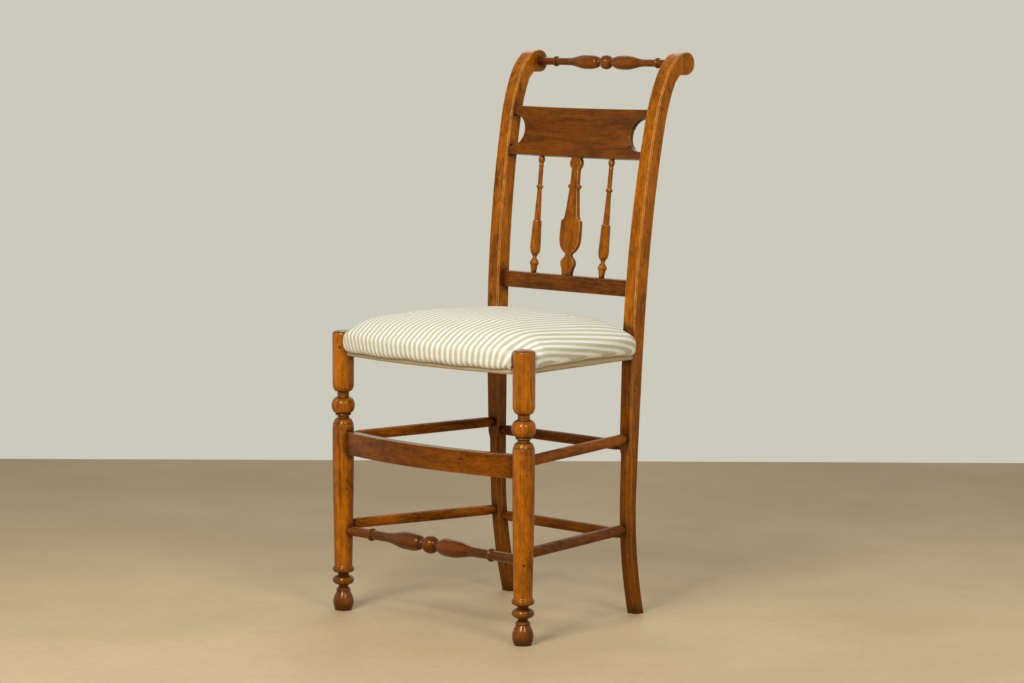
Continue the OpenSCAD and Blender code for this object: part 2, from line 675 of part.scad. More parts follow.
module back_splat() {
    half = [for (p = SPLAT_OUTLINE_share) [p[0] * splat_w / 2, p[1] * splat_run]];
    color(WOOD) {
        intersection() {
            splat_place()
                translate([0, splat_t, 0])
                    rotate([90, 0, 0])
                        linear_extrude(splat_t)
                            polygon(concat(half, backward([for (p = half) [-p[0], p[1]]])));
            below_tablet();
        }
        splat_tenons();
    }
}

// Seat rails. The rail's outer faces run from the leg axis to the stile's outer face
side_out_front = [leg_x, leg_y];
side_out_back = [stile_outer(seat_top_z), stile_y];
side_dir = (side_out_back - side_out_front) / norm(side_out_back - side_out_front);
side_angle = atan2(-side_dir[0], side_dir[1]);
rail_tenon_h = seat_rail_h - 2 * tenon_shoulder;

function bow_radius(half, bow) = (half * half + bow * bow) / (2 * bow);
function bow_y(x, half, bow) = let (r = bow_radius(half, bow)) -bow + r - sqrt(r * r - x * x);

// A board bowed forward, its front face through [half, front_y] on both sides
module bowed_board(half, bow, front_y, t, z, h) {
    r = bow_radius(half, bow);
    translate([0, front_y - bow + r, z])
        intersection() {
            difference() {
                cylinder(r = r, h = h, $fn = 256);
                translate([0, 0, -over]) cylinder(r = r - t, h = h + 2 * over, $fn = 256);
            }
            translate([-half, -r - over, 0]) cube([2 * half, bow + 2 * t, h]);
        }
}

// Flat tenons from a bowed board into both front legs, for the board's under side and height
module front_tenons(z, h, clearance = 0) {
    for (side = [LEFT, RIGHT])
        mirrored(side)
            translate([leg_x - leg_r - tenon_shoulder - clearance, leg_y - clearance,
                z + tenon_shoulder - clearance])
                cube([tenon_len + tenon_shoulder + 2 * clearance, flat_tenon_t + 2 * clearance,
                    h - 2 * tenon_shoulder + 2 * clearance]);
}

module seat_rail_front_tenons(clearance = 0) {
    front_tenons(seat_rail_z, seat_rail_h, clearance);
}

module seat_rail_front() {
    color(DARK_WOOD)
        difference() {
            union() {
                difference() {
                    bowed_board(leg_x, front_bow, leg_y - rail_start, seat_rail_t, seat_rail_z, seat_rail_h);
                    for (side = [LEFT, RIGHT])
                        translate([side * leg_x, leg_y, 0]) leg_solid(fit);
                }
                seat_rail_front_tenons();
            }
            peg_places(fit);
        }
}

// Side rails, drawn along +Y from the leg axis with their outer face at x = 0
module side_rail_place(side) {
    mirror([side == LEFT ? 1 : 0, 0, 0])
        translate([leg_x, leg_y, 0])
            rotate([0, 0, side_angle])
                children();
}

side_run = norm(side_out_back - side_out_front);
// From the side rails' outer faces to the middle of their tenons
side_tenon_x = 6.5;

// Both tenons of a side rail as one bar, from behind the front rail's tenon into the stile
module side_rail_tenons(side, clearance = 0) {
    start = flat_tenon_t + 2 * over;
    side_rail_place(side)
        translate([-side_tenon_x - flat_tenon_t / 2 - clearance, start - clearance,
            seat_rail_z + tenon_shoulder - clearance])
            cube([flat_tenon_t + 2 * clearance, side_run + stile_tenon_len - start + 2 * clearance,
                rail_tenon_h + 2 * clearance]);
}

module side_rail(side) {
    color(DARK_WOOD) {
        difference() {
            side_rail_place(side)
                translate([-seat_rail_t, 0, seat_rail_z])
                    cube([seat_rail_t, side_run + seat_rail_t, seat_rail_h]);
            translate([side * leg_x, leg_y, 0]) leg_solid(fit);
            translate([-leg_spacing, stile_y, 0]) cube([2 * leg_spacing, total_depth, total_h]);
            bowed_board(leg_x, front_bow, leg_y - rail_start, seat_rail_t + fit, 0, total_h);
        }
        side_rail_tenons(side);
    }
}

// Back rail, between the stiles
back_rail_set = 2;
back_rail_t = 17;
back_rail_y = stile_y + back_rail_set;

module back_rail_tenons(clearance = 0) {
    reach = stile_inner(seat_rail_z) + stile_tenon_len / 2 + clearance;
    translate([-reach, back_rail_y + (back_rail_t - flat_tenon_t) / 2 - clearance,
        seat_rail_z + tenon_shoulder - clearance])
        cube([2 * reach, flat_tenon_t + 2 * clearance, rail_tenon_h + 2 * clearance]);
}

module seat_rail_back() {
    color(DARK_WOOD) {
        between_stiles(back_rail_y, back_rail_y + back_rail_t, seat_rail_z, seat_top_z);
        back_rail_tenons();
    }
}

// Pegs that pin the front rail's tenons in the legs
module peg_places(clearance = 0) {
    for (side = [LEFT, RIGHT])
        translate([side * (leg_x - leg_r * 0.46), leg_y - leg_r, seat_rail_z + seat_rail_h / 2])
            rotate([-90, 0, 0])
                cylinder(d = peg_d + 2 * clearance, h = leg_r + flat_tenon_t + clearance, $fn = 32);
}

module tenon_pegs() {
    color(DARK_WOOD)
        intersection() {
            peg_places();
            for (side = [LEFT, RIGHT])
                translate([side * leg_x, leg_y, 0]) cylinder(r = leg_r - peg_sink, h = leg_h);
        }
}

// Seat cloths, in plan: inside the rails' outer faces by a margin, clear of the posts
function front_y_at(x) = leg_y - rail_start + bow_y(x, leg_x, front_bow);
function side_x_at(y) = mix(leg_x, side_out_back[0], (y - leg_y) / seat_depth);
seat_plan_n = 20;

module seat_outline(grow) {
    polygon(concat(
        [for (i = [0 : seat_plan_n]) let (x = mix(-leg_x, leg_x, i / seat_plan_n))
            [x, front_y_at(x) - grow]],
        [[leg_x + grow, leg_y], [side_x_at(back_edge_y) + grow, back_edge_y + grow],
            [-side_x_at(back_edge_y) - grow, back_edge_y + grow], [-leg_x - grow, leg_y]]));
}

module seat_plan(grow, gap) {
    difference() {
        seat_outline(grow);
        for (side = [LEFT, RIGHT]) {
            translate([side * leg_x, leg_y]) circle(r = leg_r + gap);
            translate([side * (leg_x + leg_r), leg_y - leg_r]) square(2 * leg_r, center = true);
            mirrored(side)
                translate([stile_inner(seat_rail_z) - gap, stile_y - gap]) square([2 * stile_w, 3 * stile_w]);
        }
    }
}

module seat_webbing() {
    depth = back_rail_y + back_rail_t - leg_y;
    span = leg_spacing - 2 * leg_d;
    color(JUTE) {
        for (i = [-1 : 1])
            translate([i * span / 3.4 - webbing_w / 2, leg_y - rail_start * 2, seat_top_z])
                cube([webbing_w, depth, webbing_t]);
        for (i = [0 : 2])
            let (y = leg_y + leg_r * 2 + webbing_w * 1.45 * i,
                half = leg_x - (y + webbing_w - leg_y) * tan(side_angle) - tenon_shoulder)
            translate([-half, y, seat_top_z + webbing_t])
                cube([2 * half, webbing_w, webbing_t]);
    }
}

module seat_hessian() {
    color(JUTE)
        translate([0, 0, hessian_z]) linear_extrude(hessian_t) seat_plan(-tenon_shoulder, 3 * cloth_edge);
}

// Lining: a sheet under the rails, turned up around their outer faces
module seat_lining() {
    color(LINEN)
        difference() {
            translate([0, 0, seat_rail_z - lining_t])
                linear_extrude(lining_t + 2 * cover_lift)
                    seat_plan(cloth_gap + lining_t, cloth_gap);
            translate([0, 0, seat_rail_z])
                linear_extrude(2 * cover_lift + over) seat_outline(cloth_gap);
        }
}

// Cover and stuffing. Half the plan, from the front middle round to the back middle, as
// [x, y, outward x, outward y, share of the bulge, x and y of the unnotched outline, 1 if lifted].
// A share of 0 marks the notches at the posts, and lifted points stay above the rails
plan_front_n = 6;
plan_notch_n = 3;
plan_side_n = 5;
plan_back_n = 3;
notch_r = leg_r + 3 * cloth_gap;
notch_from = 186;
notch_to = 96;
corner_pull = leg_r * 0.45;
cover_in = lining_t + 3 * cloth_gap;
// Share of its bulge that the cover's front loses toward the legs
front_ebb = 0.38;
// Thickness of the cover where it stands against a post
cover_wall = 1.5;

function side_out(t) = side_out_front + (side_out_back - side_out_front) * t;
side_t0 = (notch_r + 2 * cloth_edge) / side_run;
side_t1 = 1 - (cloth_gap + 2 * cloth_edge) / side_run;
side_normal = [side_dir[1], -side_dir[0]];
front_half = leg_x - notch_r - cloth_edge;
stile_notch_x = stile_inner(seat_rail_z) - cloth_gap - cloth_edge;
stile_notch_y = stile_y - cloth_gap - cloth_edge;
back_edge_y = back_rail_y + back_rail_t;

function side_point(t, share, lifted) = let (p = side_out(t))
    [p[0], p[1], side_normal[0], side_normal[1], share, p[0], p[1], lifted];

HALF_PLAN = concat(
    [for (i = [0 : plan_front_n]) let (x = front_half * sin(90 * i / plan_front_n), y = front_y_at(x))
        [x, y, 0.45 * pow(x / front_half, 3), -1, 1 - front_ebb * pow(x / front_half, 4), x, y, 0]],
    [let (x = front_half + cloth_edge, y = front_y_at(x)) [x, y, 0.55, -1, 0.9 - front_ebb, x, y, 1]],
    [for (i = [0 : plan_notch_n])
        let (a = mix(notch_from, notch_to, i / plan_notch_n),
            pull = corner_pull * sin(180 * i / plan_notch_n))
        [leg_x + notch_r * cos(a), leg_y + notch_r * sin(a), -cos(a), -sin(a), 0,
            mix(front_half, side_out(side_t0)[0], i / plan_notch_n) + pull,
            mix(front_y_at(front_half), side_out(side_t0)[1], i / plan_notch_n) - pull, 1]],
    [side_point(side_t0 - cloth_edge / side_run, 0.75, 1)],
    [for (i = [0 : plan_side_n])
        side_point(mix(side_t0, side_t1, i / plan_side_n),
            i == 0 ? 0.85 : i == plan_side_n ? 0.7 : 1, 0)],
    [side_point(side_t1 + cloth_edge / side_run, 0.6, 1)],
    [[stile_notch_x + stile_w / 2, stile_notch_y, 0, 1, 0, side_out_back[0], stile_y + stile_seat_t / 4, 1],
        [stile_notch_x, stile_notch_y, 0.7, 0.7, 0,
            side_out_back[0] - stile_w / 3, stile_y + stile_seat_t / 2, 1],
        [stile_notch_x, back_edge_y - 2 * cloth_edge, 1, 0, 0, stile_notch_x, back_edge_y - cloth_edge, 1]],
    [let (x = stile_notch_x - 3 * cloth_edge) [x, back_edge_y, 0, 1, 0.25, x, back_edge_y, 1]],
    [for (i = [0 : plan_back_n]) let (x = (stile_notch_x - 4 * cloth_edge) * (1 - i / plan_back_n))
        [x, back_edge_y, 0, 1, 0.25, x, back_edge_y, 0]]);
SEAT_PLAN = concat(HALF_PLAN,
    [for (i = [len(HALF_PLAN) - 2 : -1 : 1]) let (p = HALF_PLAN[i])
        [-p[0], p[1], -p[2], p[3], p[4], -p[5], p[6], p[7]]]);
seat_centre = [0, mix(leg_y, back_edge_y, 0.5)];

// One ring of the seat: an outset on the free sides, a scale about the centre, a height, a share by
// which the notches have closed, and an inset at the notches
function free_reach(outset, share) = outset > cover_in ? mix(cover_in, outset, share) : outset;
lift_end_z = stuffing_z - cloth_edge - cloth_gap;
function lifted_z(z) = z > lift_end_z ? z
    : mix(seat_top_z + cloth_gap, lift_end_z, (z - cover_low_z) / (lift_end_z - cover_low_z));
function seat_ring(outset, scale, z, closed, inset) =
    [for (p = SEAT_PLAN)
        let (reach = p[4] > 0 ? free_reach(outset, p[4]) : -inset,
            x = mix(p[0], p[5], closed) + p[2] * reach,
            y = mix(p[1], p[6], closed) + p[3] * reach,
            drawn = scale * rounded_in(x, y, scale))
        [seat_centre[0] + (x - seat_centre[0]) * drawn, seat_centre[1] + (y - seat_centre[1]) * drawn,
            p[7] > 0 ? lifted_z(z) : z]];

// The corners draw in as the dome rises, from the seat's plan to a rounder outline, squarer in front
round_power_front = 5;
round_power_back = 2.6;
round_share = 0.9;
round_from_share = 0.3;
function rounded_in(x, y, scale) =
    let (half = y < seat_centre[1] ? seat_centre[1] - front_y_at(0) : back_edge_y - seat_centre[1],
        power = mix(round_power_front, round_power_back, smooth((y - leg_y) / (back_edge_y - leg_y))),
        reach = pow(pow(abs(x) / side_x_at(y), power) + pow(abs(y - seat_centre[1]) / half, power), 1 / power))
    pow(1 / reach, round_share * sin(90 * clamp((1 - scale) / round_from_share, 0, 1)));

// Section of the cover's outside: [share of the bulge, share of the height to the crown]
cover_low_z = seat_rail_z + cover_lift;
cover_h = crown_z - cover_low_z;
SIDE_share = [[0.32, 0], [0.72, 0.045], [0.95, 0.12], [1, 0.2], [0.92, 0.31], [0.66, 0.42]];
CROWN_share = [[0.965, 0.53], [0.905, 0.675], [0.81, 0.8], [0.67, 0.9], [0.49, 0.965],
    [0.27, 0.993], [0.02, 1]];

module seat_cover() {
    outside = concat(
        [for (s = SIDE_share) seat_ring(s[0] * cover_bulge, 1, cover_low_z + s[1] * cover_h, 0, 0)],
        [for (s = CROWN_share) seat_ring(s[0] * cover_bulge * 0.3, s[0], cover_low_z + s[1] * cover_h,
            smooth((0.97 - s[0]) / 0.2), 0)]);
    inside = concat(backward(stuffing_rings(cloth_edge)),
        [for (z = [seat_top_z + cloth_gap, cover_low_z]) seat_ring(cover_in, 1, z, 0, cover_wall)]);
    color(STRIPED) skin(concat(inside, outside), hub = true);
}

// Stuffing: flat below, domed above, inside the cover
STUFF_share = [[1, 0], [0.985, 0.15], [0.94, 0.42], [0.84, 0.68], [0.68, 0.87], [0.44, 0.965], [0.05, 1]];
stuff_h = crown_z - cover_t - stuffing_z;

function stuffing_rings(gap) =
    [for (s = STUFF_share)
        seat_ring(-tenon_shoulder + gap, s[0], stuffing_z + s[1] * stuff_h + (s[1] > 0 ? gap : -gap),
            smooth((0.95 - s[0]) / 0.25), cover_wall + cloth_edge - gap)];

module seat_stuffing() {
    color(LINEN) skin(stuffing_rings(0), hub = true);
}

// Apron board, tenoned into the front legs
module apron_tenons(clearance = 0) {
    front_tenons(apron_z, apron_h, clearance);
}

module front_apron() {
    color(WOOD) {
        difference() {
            bowed_board(leg_x, apron_bow, leg_y - rail_start, apron_t, apron_z, apron_h);
            for (side = [LEFT, RIGHT])
                translate([side * leg_x, leg_y, 0]) leg_solid(fit);
        }
        apron_tenons();
    }
}

// Turned front stretcher
function leg_radius_at(z) = leg_r - (leg_r - leg_low_d / 2)
    * pow(clamp((shoulder_low - z) / (shoulder_low - ankle_h - collar_flare_h), 0, 1), 1.6);
turned_r = turned_d / 2;
turned_shaft_r = turned_shaft_d / 2;
turned_half = leg_x - leg_radius_at(turned_z) * 0.93;
turned_neck_w = turned_r * 0.45;
turned_bulb_x = turned_half * 0.225;
turned_taper_x = turned_half * 0.54;
turned_ring_x = turned_half * 0.715;
turned_ring_w = 5.5;

module turned_stretcher_tenons(clearance = 0) {
    for (side = [LEFT, RIGHT])
        translate([side * leg_x, leg_y, turned_z])
            rotate([0, -side * 90, 0])
                translate([0, 0, tenon_shoulder - clearance])
                    cylinder(d = tenon_d + 2 * clearance, h = leg_r + tenon_len);
}

module turned_stretcher() {
    color(WOOD) {
        difference() {
            translate([0, leg_y, turned_z])
                turned_along_x(ball_and_bulb(turned_r, turned_shaft_r, turned_neck_w, turned_bulb_x,
                    turned_taper_x, turned_ring_x, turned_ring_w, turned_shaft_r * 0.97,
                    leg_x - leg_r / 2));
            for (side = [LEFT, RIGHT])
                translate([side * leg_x, leg_y, 0])
                    cylinder(r = leg_radius_at(turned_z) + fit, h = leg_h);
        }
        turned_stretcher_tenons();
    }
}

// Side stretchers, from the leg's axis to the middle of the stile
function stretcher_front(z) = [leg_x, leg_y, z];
function stretcher_back(z) = [stile_mid(z), stile_front(z), z];
end_taper = 16;

// Puts what is drawn up from the origin along the line between two points
module along(a, b) {
    d = b - a;
    translate(a) rotate([0, acos(d[2] / norm(d)), atan2(d[1], d[0])]) children();
}

module mirrored(side) {
    mirror([side == LEFT ? 1 : 0, 0, 0]) children();
}

module side_stretcher_tenons(side, z, rise, clearance = 0) {
    a = stretcher_front(z);
    b = stretcher_back(z + rise);
    start = flat_tenon_t + over;
    mirrored(side)
        along(a, b)
            translate([0, 0, start - clearance])
                cylinder(d = tenon_d + 2 * clearance,
                    h = norm(b - a) - start + stile_tenon_len + 2 * clearance);
}

function shaved_outline(from, to) = [[0, from], [stretcher_d * 0.36, from],
    [stretcher_d * 0.45, from + end_taper * 0.45], [stretcher_d / 2, from + end_taper],
    [stretcher_d * 0.515, mix(from, to, 0.5)],
    [stretcher_d / 2, to - end_taper], [stretcher_d * 0.45, to - end_taper * 0.45],
    [stretcher_d * 0.36, to], [0, to]];

module side_stretcher(side, z, rise) {
    a = stretcher_front(z);
    b = stretcher_back(z + rise);
    color(WOOD) {
        difference() {
            mirrored(side)
                along(a, b)
                    rotate_extrude() polygon(shaved_outline(leg_radius_at(z) * 0.85, norm(b - a) - fit));
            translate([side * leg_x, leg_y, 0]) cylinder(r = leg_radius_at(z) + fit, h = leg_h);
            on_stile(side) stile_room(z);
        }
        side_stretcher_tenons(side, z, rise);
    }
}

// The space behind the stile's front face around a height, which follows the face's slope
module stile_room(z) {
    slope = atan((stile_front(z + over) - stile_front(z - over)) / (2 * over));
    translate([-stile_w, stile_front(z), z])
        rotate([-slope, 0, 0])
            translate([0, 0, -stile_w]) cube([3 * stile_w, 3 * stile_w, 2 * stile_w]);
}

// Back stretchers, between the stiles
function back_stretcher_y(z) = stile_front(z) + stile_t(z) / 2;

module back_stretcher_tenons(z, clearance = 0) {
    reach = stile_inner(z) + stile_tenon_len + clearance;
    translate([-reach, back_stretcher_y(z), z])
        rotate([0, 90, 0]) cylinder(d = tenon_d + 2 * clearance, h = 2 * reach);
}

module back_stretcher(z) {
    half = stile_inner(z - stretcher_d / 2);
    color(WOOD) {
        intersection() {
            translate([0, back_stretcher_y(z), z])
                rotate([0, 90, 0]) rotate_extrude() polygon(shaved_outline(-half, half));
            between_stiles(-total_depth, total_depth, z - stretcher_d, z + stretcher_d);
        }
        back_stretcher_tenons(z);
    }
}

front_leg(LEFT);  // front_leg_left
front_leg(RIGHT);  // front_leg_right
stile(LEFT);  // stile_left
stile(RIGHT);  // stile_right
crest_spindle();
back_tablet();
lower_back_rail();
back_spindle(LEFT);  // back_spindle_left
back_spindle(RIGHT);  // back_spindle_right
back_splat();
seat_rail_front();
seat_rail_back();
side_rail(LEFT);  // seat_rail_left
side_rail(RIGHT);  // seat_rail_right
seat_webbing();
seat_hessian();
seat_stuffing();
seat_cover();
seat_lining();
front_apron();
turned_stretcher();
side_stretcher(LEFT, side_up_z, side_up_rise);  // side_stretcher_upper_left
side_stretcher(RIGHT, side_up_z, side_up_rise);  // side_stretcher_upper_right
side_stretcher(LEFT, side_low_z, 0);  // side_stretcher_lower_left
side_stretcher(RIGHT, side_low_z, 0);  // side_stretcher_lower_right
back_stretcher(back_up_z);  // back_stretcher_upper
back_stretcher(back_low_z);  // back_stretcher_lower
tenon_pegs();
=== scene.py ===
# %% [markdown]
# A fruitwood side chair with a striped seat.
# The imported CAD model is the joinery: turned legs, sawn and scrolled back posts, rails, stretchers.
# It is loaded as a fixed frame. Here it gets its polished wood, and the plain solids of the seat give
# way to cloth: a stuffed and striped cushion, a lining, webbing and hessian.

# %% Load the frame
import math

import bpy
import numpy as np
from mathutils import Matrix, Vector, noise


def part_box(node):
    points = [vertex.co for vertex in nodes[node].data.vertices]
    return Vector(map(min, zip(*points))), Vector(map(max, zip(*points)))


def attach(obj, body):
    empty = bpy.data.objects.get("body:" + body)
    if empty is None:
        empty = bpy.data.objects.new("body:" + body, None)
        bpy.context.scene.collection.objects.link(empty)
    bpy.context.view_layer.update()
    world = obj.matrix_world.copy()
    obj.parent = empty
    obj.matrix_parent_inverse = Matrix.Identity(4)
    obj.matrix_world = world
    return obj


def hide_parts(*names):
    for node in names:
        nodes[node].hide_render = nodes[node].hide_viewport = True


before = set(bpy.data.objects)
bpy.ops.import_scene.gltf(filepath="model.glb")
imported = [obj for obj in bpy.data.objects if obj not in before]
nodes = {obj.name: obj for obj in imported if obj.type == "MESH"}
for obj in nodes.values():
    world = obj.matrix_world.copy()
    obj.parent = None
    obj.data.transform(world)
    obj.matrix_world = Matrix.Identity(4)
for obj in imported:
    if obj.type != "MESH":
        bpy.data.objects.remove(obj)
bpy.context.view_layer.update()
print("CAD nodes:", len(nodes))

# %% [markdown]
# The camera stands where the photographer stood. A long lens from five metres keeps the uprights
# almost parallel. The roll is a quarter of a degree, because the tripod wasn't quite level.

# %% Set up the camera
CAMERA_PLACE = (3.5863, -3.6261, 0.9579)
CAMERA_YAW, CAMERA_PITCH, CAMERA_ROLL = 44.74, 5.832, 0.243
CAMERA_LENS, SENSOR_WIDTH = 112.92, 36

bpy.ops.object.camera_add(location=CAMERA_PLACE)
camera = bpy.context.object
level = Matrix.Rotation(math.radians(CAMERA_YAW), 4, "Z") @ Matrix.Rotation(
    math.radians(90 - CAMERA_PITCH), 4, "X")
turned = level @ Matrix.Rotation(math.radians(CAMERA_ROLL), 4, "Z")
camera.rotation_euler = turned.to_euler()
camera.data.lens, camera.data.sensor_width = CAMERA_LENS, SENSOR_WIDTH
bpy.context.scene.camera = camera
print("camera at", CAMERA_PLACE, "lens", CAMERA_LENS)

# %% [markdown]
# Two softboxes light the chair, one a little to each side of the camera. They give each turned bead
# its pair of small highlights and each foot its two soft shadows. A third, wider and weaker, stands
# behind, so that the chair's back can be seen as well.

# %% Lamps
AIM = Vector((0.0, 0.0, 0.45))
LAMP_COLOR = (1.0, 0.975, 0.94)
LAMPS = {
    "key_light": {"azimuth": 18, "elevation": 33, "distance": 3.0, "size": 0.9, "watts": 60},
    "fill_light": {"azimuth": 70, "elevation": 30, "distance": 3.4, "size": 0.95, "watts": 33},
    "back_light": {"azimuth": 218, "elevation": 38, "distance": 3.6, "size": 2.2, "watts": 22},
}


def softbox(label, azimuth, elevation, distance, size, watts):
    """A square area light that stands round the chair and looks at the seat."""
    a, e = math.radians(azimuth), math.radians(elevation)
    way = Vector((math.sin(a) * math.cos(e), -math.cos(a) * math.cos(e), math.sin(e)))
    bpy.ops.object.light_add(type="AREA", location=AIM + way * distance)
    lamp = bpy.context.object
    lamp.name = label
    lamp.rotation_euler = way.to_track_quat("Z", "Y").to_euler()
    lamp.data.shape, lamp.data.size = "SQUARE", size
    lamp.data.energy, lamp.data.color = watts, LAMP_COLOR


for label, values in LAMPS.items():
    softbox(label, **values)
print("softboxes:", len(LAMPS))

# %% [markdown]
# Every finish below is built from nodes. A few short helpers keep the wiring readable: one that adds
# a node, some for sums, one that stretches a value over a range, and one that mixes two colours.


# %% Node helpers
def put(tree, kind, settings=(), **values):
    """A new node. Settings are its options, and values go on sockets by name, _ for a space."""
    made = tree.nodes.new("ShaderNode" + kind)
    for option, value in dict(settings).items():
        setattr(made, option, value)
    for label, value in values.items():
        plug(tree, made.inputs[label.replace("_", " ")], value)
    return made


def plug(tree, socket, value):
    """Links a socket, or sets it."""
    if isinstance(value, bpy.types.NodeSocket):
        tree.links.new(value, socket)
    else:
        socket.default_value = value


def sum_of(tree, operation, *values):
    """A Math node, by its operation and its inputs in order."""
    made = put(tree, "Math", {"operation": operation})
    for socket, value in zip(made.inputs, values):
        plug(tree, socket, value)
    return made.outputs[0]


def times(tree, first, second):
    return sum_of(tree, "MULTIPLY", first, second)


def plus(tree, first, second):
    return sum_of(tree, "ADD", first, second)


def less(tree, first, second):
    return sum_of(tree, "SUBTRACT", first, second)


def vector_of(tree, operation, first, second=(0, 0, 0)):
    """The outputs of a Vector Math node, by its operation and its inputs."""
    made = put(tree, "VectorMath", {"operation": operation})
    plug(tree, made.inputs[0], first)
    plug(tree, made.inputs[1], second)
    return made.outputs


def scaled(tree, vector, by):
    """A vector, stretched along its axes."""
    return vector_of(tree, "MULTIPLY", vector, by)[0]


def axes_of(tree, vector):
    """The outputs X, Y and Z of a vector."""
    return put(tree, "SeparateXYZ", Vector=vector).outputs


def spread(tree, value, low, high, to_low=0.0, to_high=1.0):
    """Runs smoothly from to_low to to_high while value goes from low to high."""
    made = put(tree, "MapRange", {"interpolation_type": "SMOOTHSTEP"}, From_Min=low, From_Max=high,
               To_Min=to_low, To_Max=to_high, Value=value)
    return made.outputs["Result"]


def mixed(tree, share, first, second):
    """Mixes two colours by a share."""
    made = put(tree, "Mix", {"data_type": "RGBA"})
    for number, value in ((0, share), (6, first), (7, second)):
        plug(tree, made.inputs[number], value)
    return made.outputs[2]


def cloud(tree, vector, scale, detail=2.0, rough=0.5, twist=0.0):
    """Noise, from 0 to 1, mostly near the middle."""
    made = put(tree, "TexNoise", Vector=vector, Scale=scale, Detail=detail, Roughness=rough,
               Distortion=twist)
    return made.outputs[0]


def new_group(label, inputs, outputs):
    """An empty shader node group with named sockets, and its two ends."""
    tree = bpy.data.node_groups.new(label, "ShaderNodeTree")
    for name, kind, value in inputs:
        made = tree.interface.new_socket(name=name, in_out="INPUT", socket_type="NodeSocket" + kind)
        made.default_value = value
    for name, kind in outputs:
        tree.interface.new_socket(name=name, in_out="OUTPUT", socket_type="NodeSocket" + kind)
    return tree, tree.nodes.new("NodeGroupInput").outputs, tree.nodes.new("NodeGroupOutput").inputs


def use_group(tree, group, **values):
    """Places a group in a tree, with its inputs, and gives its outputs."""
    return put(tree, "Group", {"node_tree": group}, **values).outputs


def new_material(label):
    """An empty material with a Principled shader, and its tree."""
    made = bpy.data.materials.new(label)
    made.use_nodes = True
    return made, made.node_tree, made.node_tree.nodes["Principled BSDF"]


print("node helpers ready")

# %% [markdown]
# The world fills in the shadows with a weak warm white. The camera, and whatever reflects or is seen
# through, meets a pale wall there instead, so the background keeps its colour and lights nothing.

# %% World
WALL_COLOR = (0.60, 0.59, 0.50, 1)
AIR_COLOR, AIR_STRENGTH = (1.0, 0.985, 0.95, 1), 0.33
world = bpy.context.scene.world or bpy.data.worlds.new("world")
bpy.context.scene.world = world
world.use_nodes = True
sky = world.node_tree
sky.nodes.clear()
ray = put(sky, "LightPath").outputs
seen = sum_of(sky, "MAXIMUM", ray["Is Camera Ray"], ray["Is Glossy Ray"])
seen = sum_of(sky, "MAXIMUM", seen, ray["Is Transmission Ray"])
chosen = put(sky, "MixShader", Fac=seen)
plug(sky, chosen.inputs[1], put(sky, "Background", Color=AIR_COLOR, Strength=AIR_STRENGTH).outputs[0])
plug(sky, chosen.inputs[2], put(sky, "Background", Color=WALL_COLOR).outputs[0])
put(sky, "OutputWorld", Surface=chosen.outputs[0])
bpy.context.scene.view_settings.view_transform = "Standard"
print("air at", AIR_STRENGTH)

# %% [markdown]
# Fruitwood is close grained. Seen from a few steps it shows broad soft figure, thin streaks that run
# with the length of the piece, fine fibres and short dark pores. One group makes all of them from
# noise that is stretched along the grain, which is Z inside the group. Each piece turns its own
# coordinates to match, so that one group serves legs, rails and stretchers alike.

# %% The fruitwood group
grain, grain_in, grain_out = new_group(
    "fruitwood",
    [("Vector", "Vector", (0, 0, 0)), ("Honey", "Color", (0.45, 0.15, 0.03, 1)),
     ("Brown", "Color", (0.2, 0.06, 0.01, 1)), ("Figure", "Float", 0.6), ("Streaks", "Float", 0.5),
     ("Flecks", "Float", 0.5)],
    [("Color", "Color"), ("Roughness", "Float"), ("Height", "Float")])
SWAY = 0.012
place = grain_in["Vector"]
adrift = put(grain, "TexNoise", Vector=scaled(grain, place, (1, 1, 0.3)), Scale=9.0, Detail=1.0)
swayed = vector_of(grain, "ADD", place, scaled(grain, adrift.outputs["Color"], (SWAY, SWAY, SWAY)))[0]


def layer(where, length, scale, detail, rough, low, high, twist=0.0):
    """Noise in the wood, drawn out along the grain, with its contrast set between low and high."""
    return spread(grain, cloud(grain, scaled(grain, where, (1, 1, length)), scale, detail, rough, twist),
                  low, high)


broad = layer(swayed, 0.12, 46.0, 3.0, 0.6, 0.32, 0.68, twist=1.0)
bands = layer(swayed, 0.03, 330.0, 3.0, 0.65, 0.34, 0.66)
threads = layer(swayed, 0.015, 760.0, 2.0, 0.65, 0.34, 0.66)
pores = layer(swayed, 0.06, 980.0, 1.0, 0.5, 0.60, 0.70)
streak = layer(swayed, 0.05, 150.0, 3.0, 0.6, 0.60, 0.72)
patina = layer(place, 0.6, 26.0, 3.0, 0.55, 0.34, 0.66)
mottle = layer(place, 0.5, 120.0, 3.0, 0.6, 0.34, 0.66)
specks = layer(place, 0.45, 300.0, 2.0, 0.6, 0.665, 0.71)
fibres = cloud(grain, scaled(grain, swayed, (1, 1, 0.03)), 1500.0, 2.0, 0.6)
lines = plus(grain, times(grain, bands, 0.40), times(grain, threads, 0.60))

# How much of the brown colour shows: by the figure and the lines, as each piece asks, and the stain
share = times(grain, broad, grain_in["Figure"])
for mask, amount in ((lines, grain_in["Streaks"]), (patina, 0.26), (mottle, 0.28)):
    share = plus(grain, share, times(grain, mask, amount))
share = put(grain, "Clamp", Value=less(grain, share, 0.22)).outputs[0]
wood = mixed(grain, share, grain_in["Honey"], grain_in["Brown"])
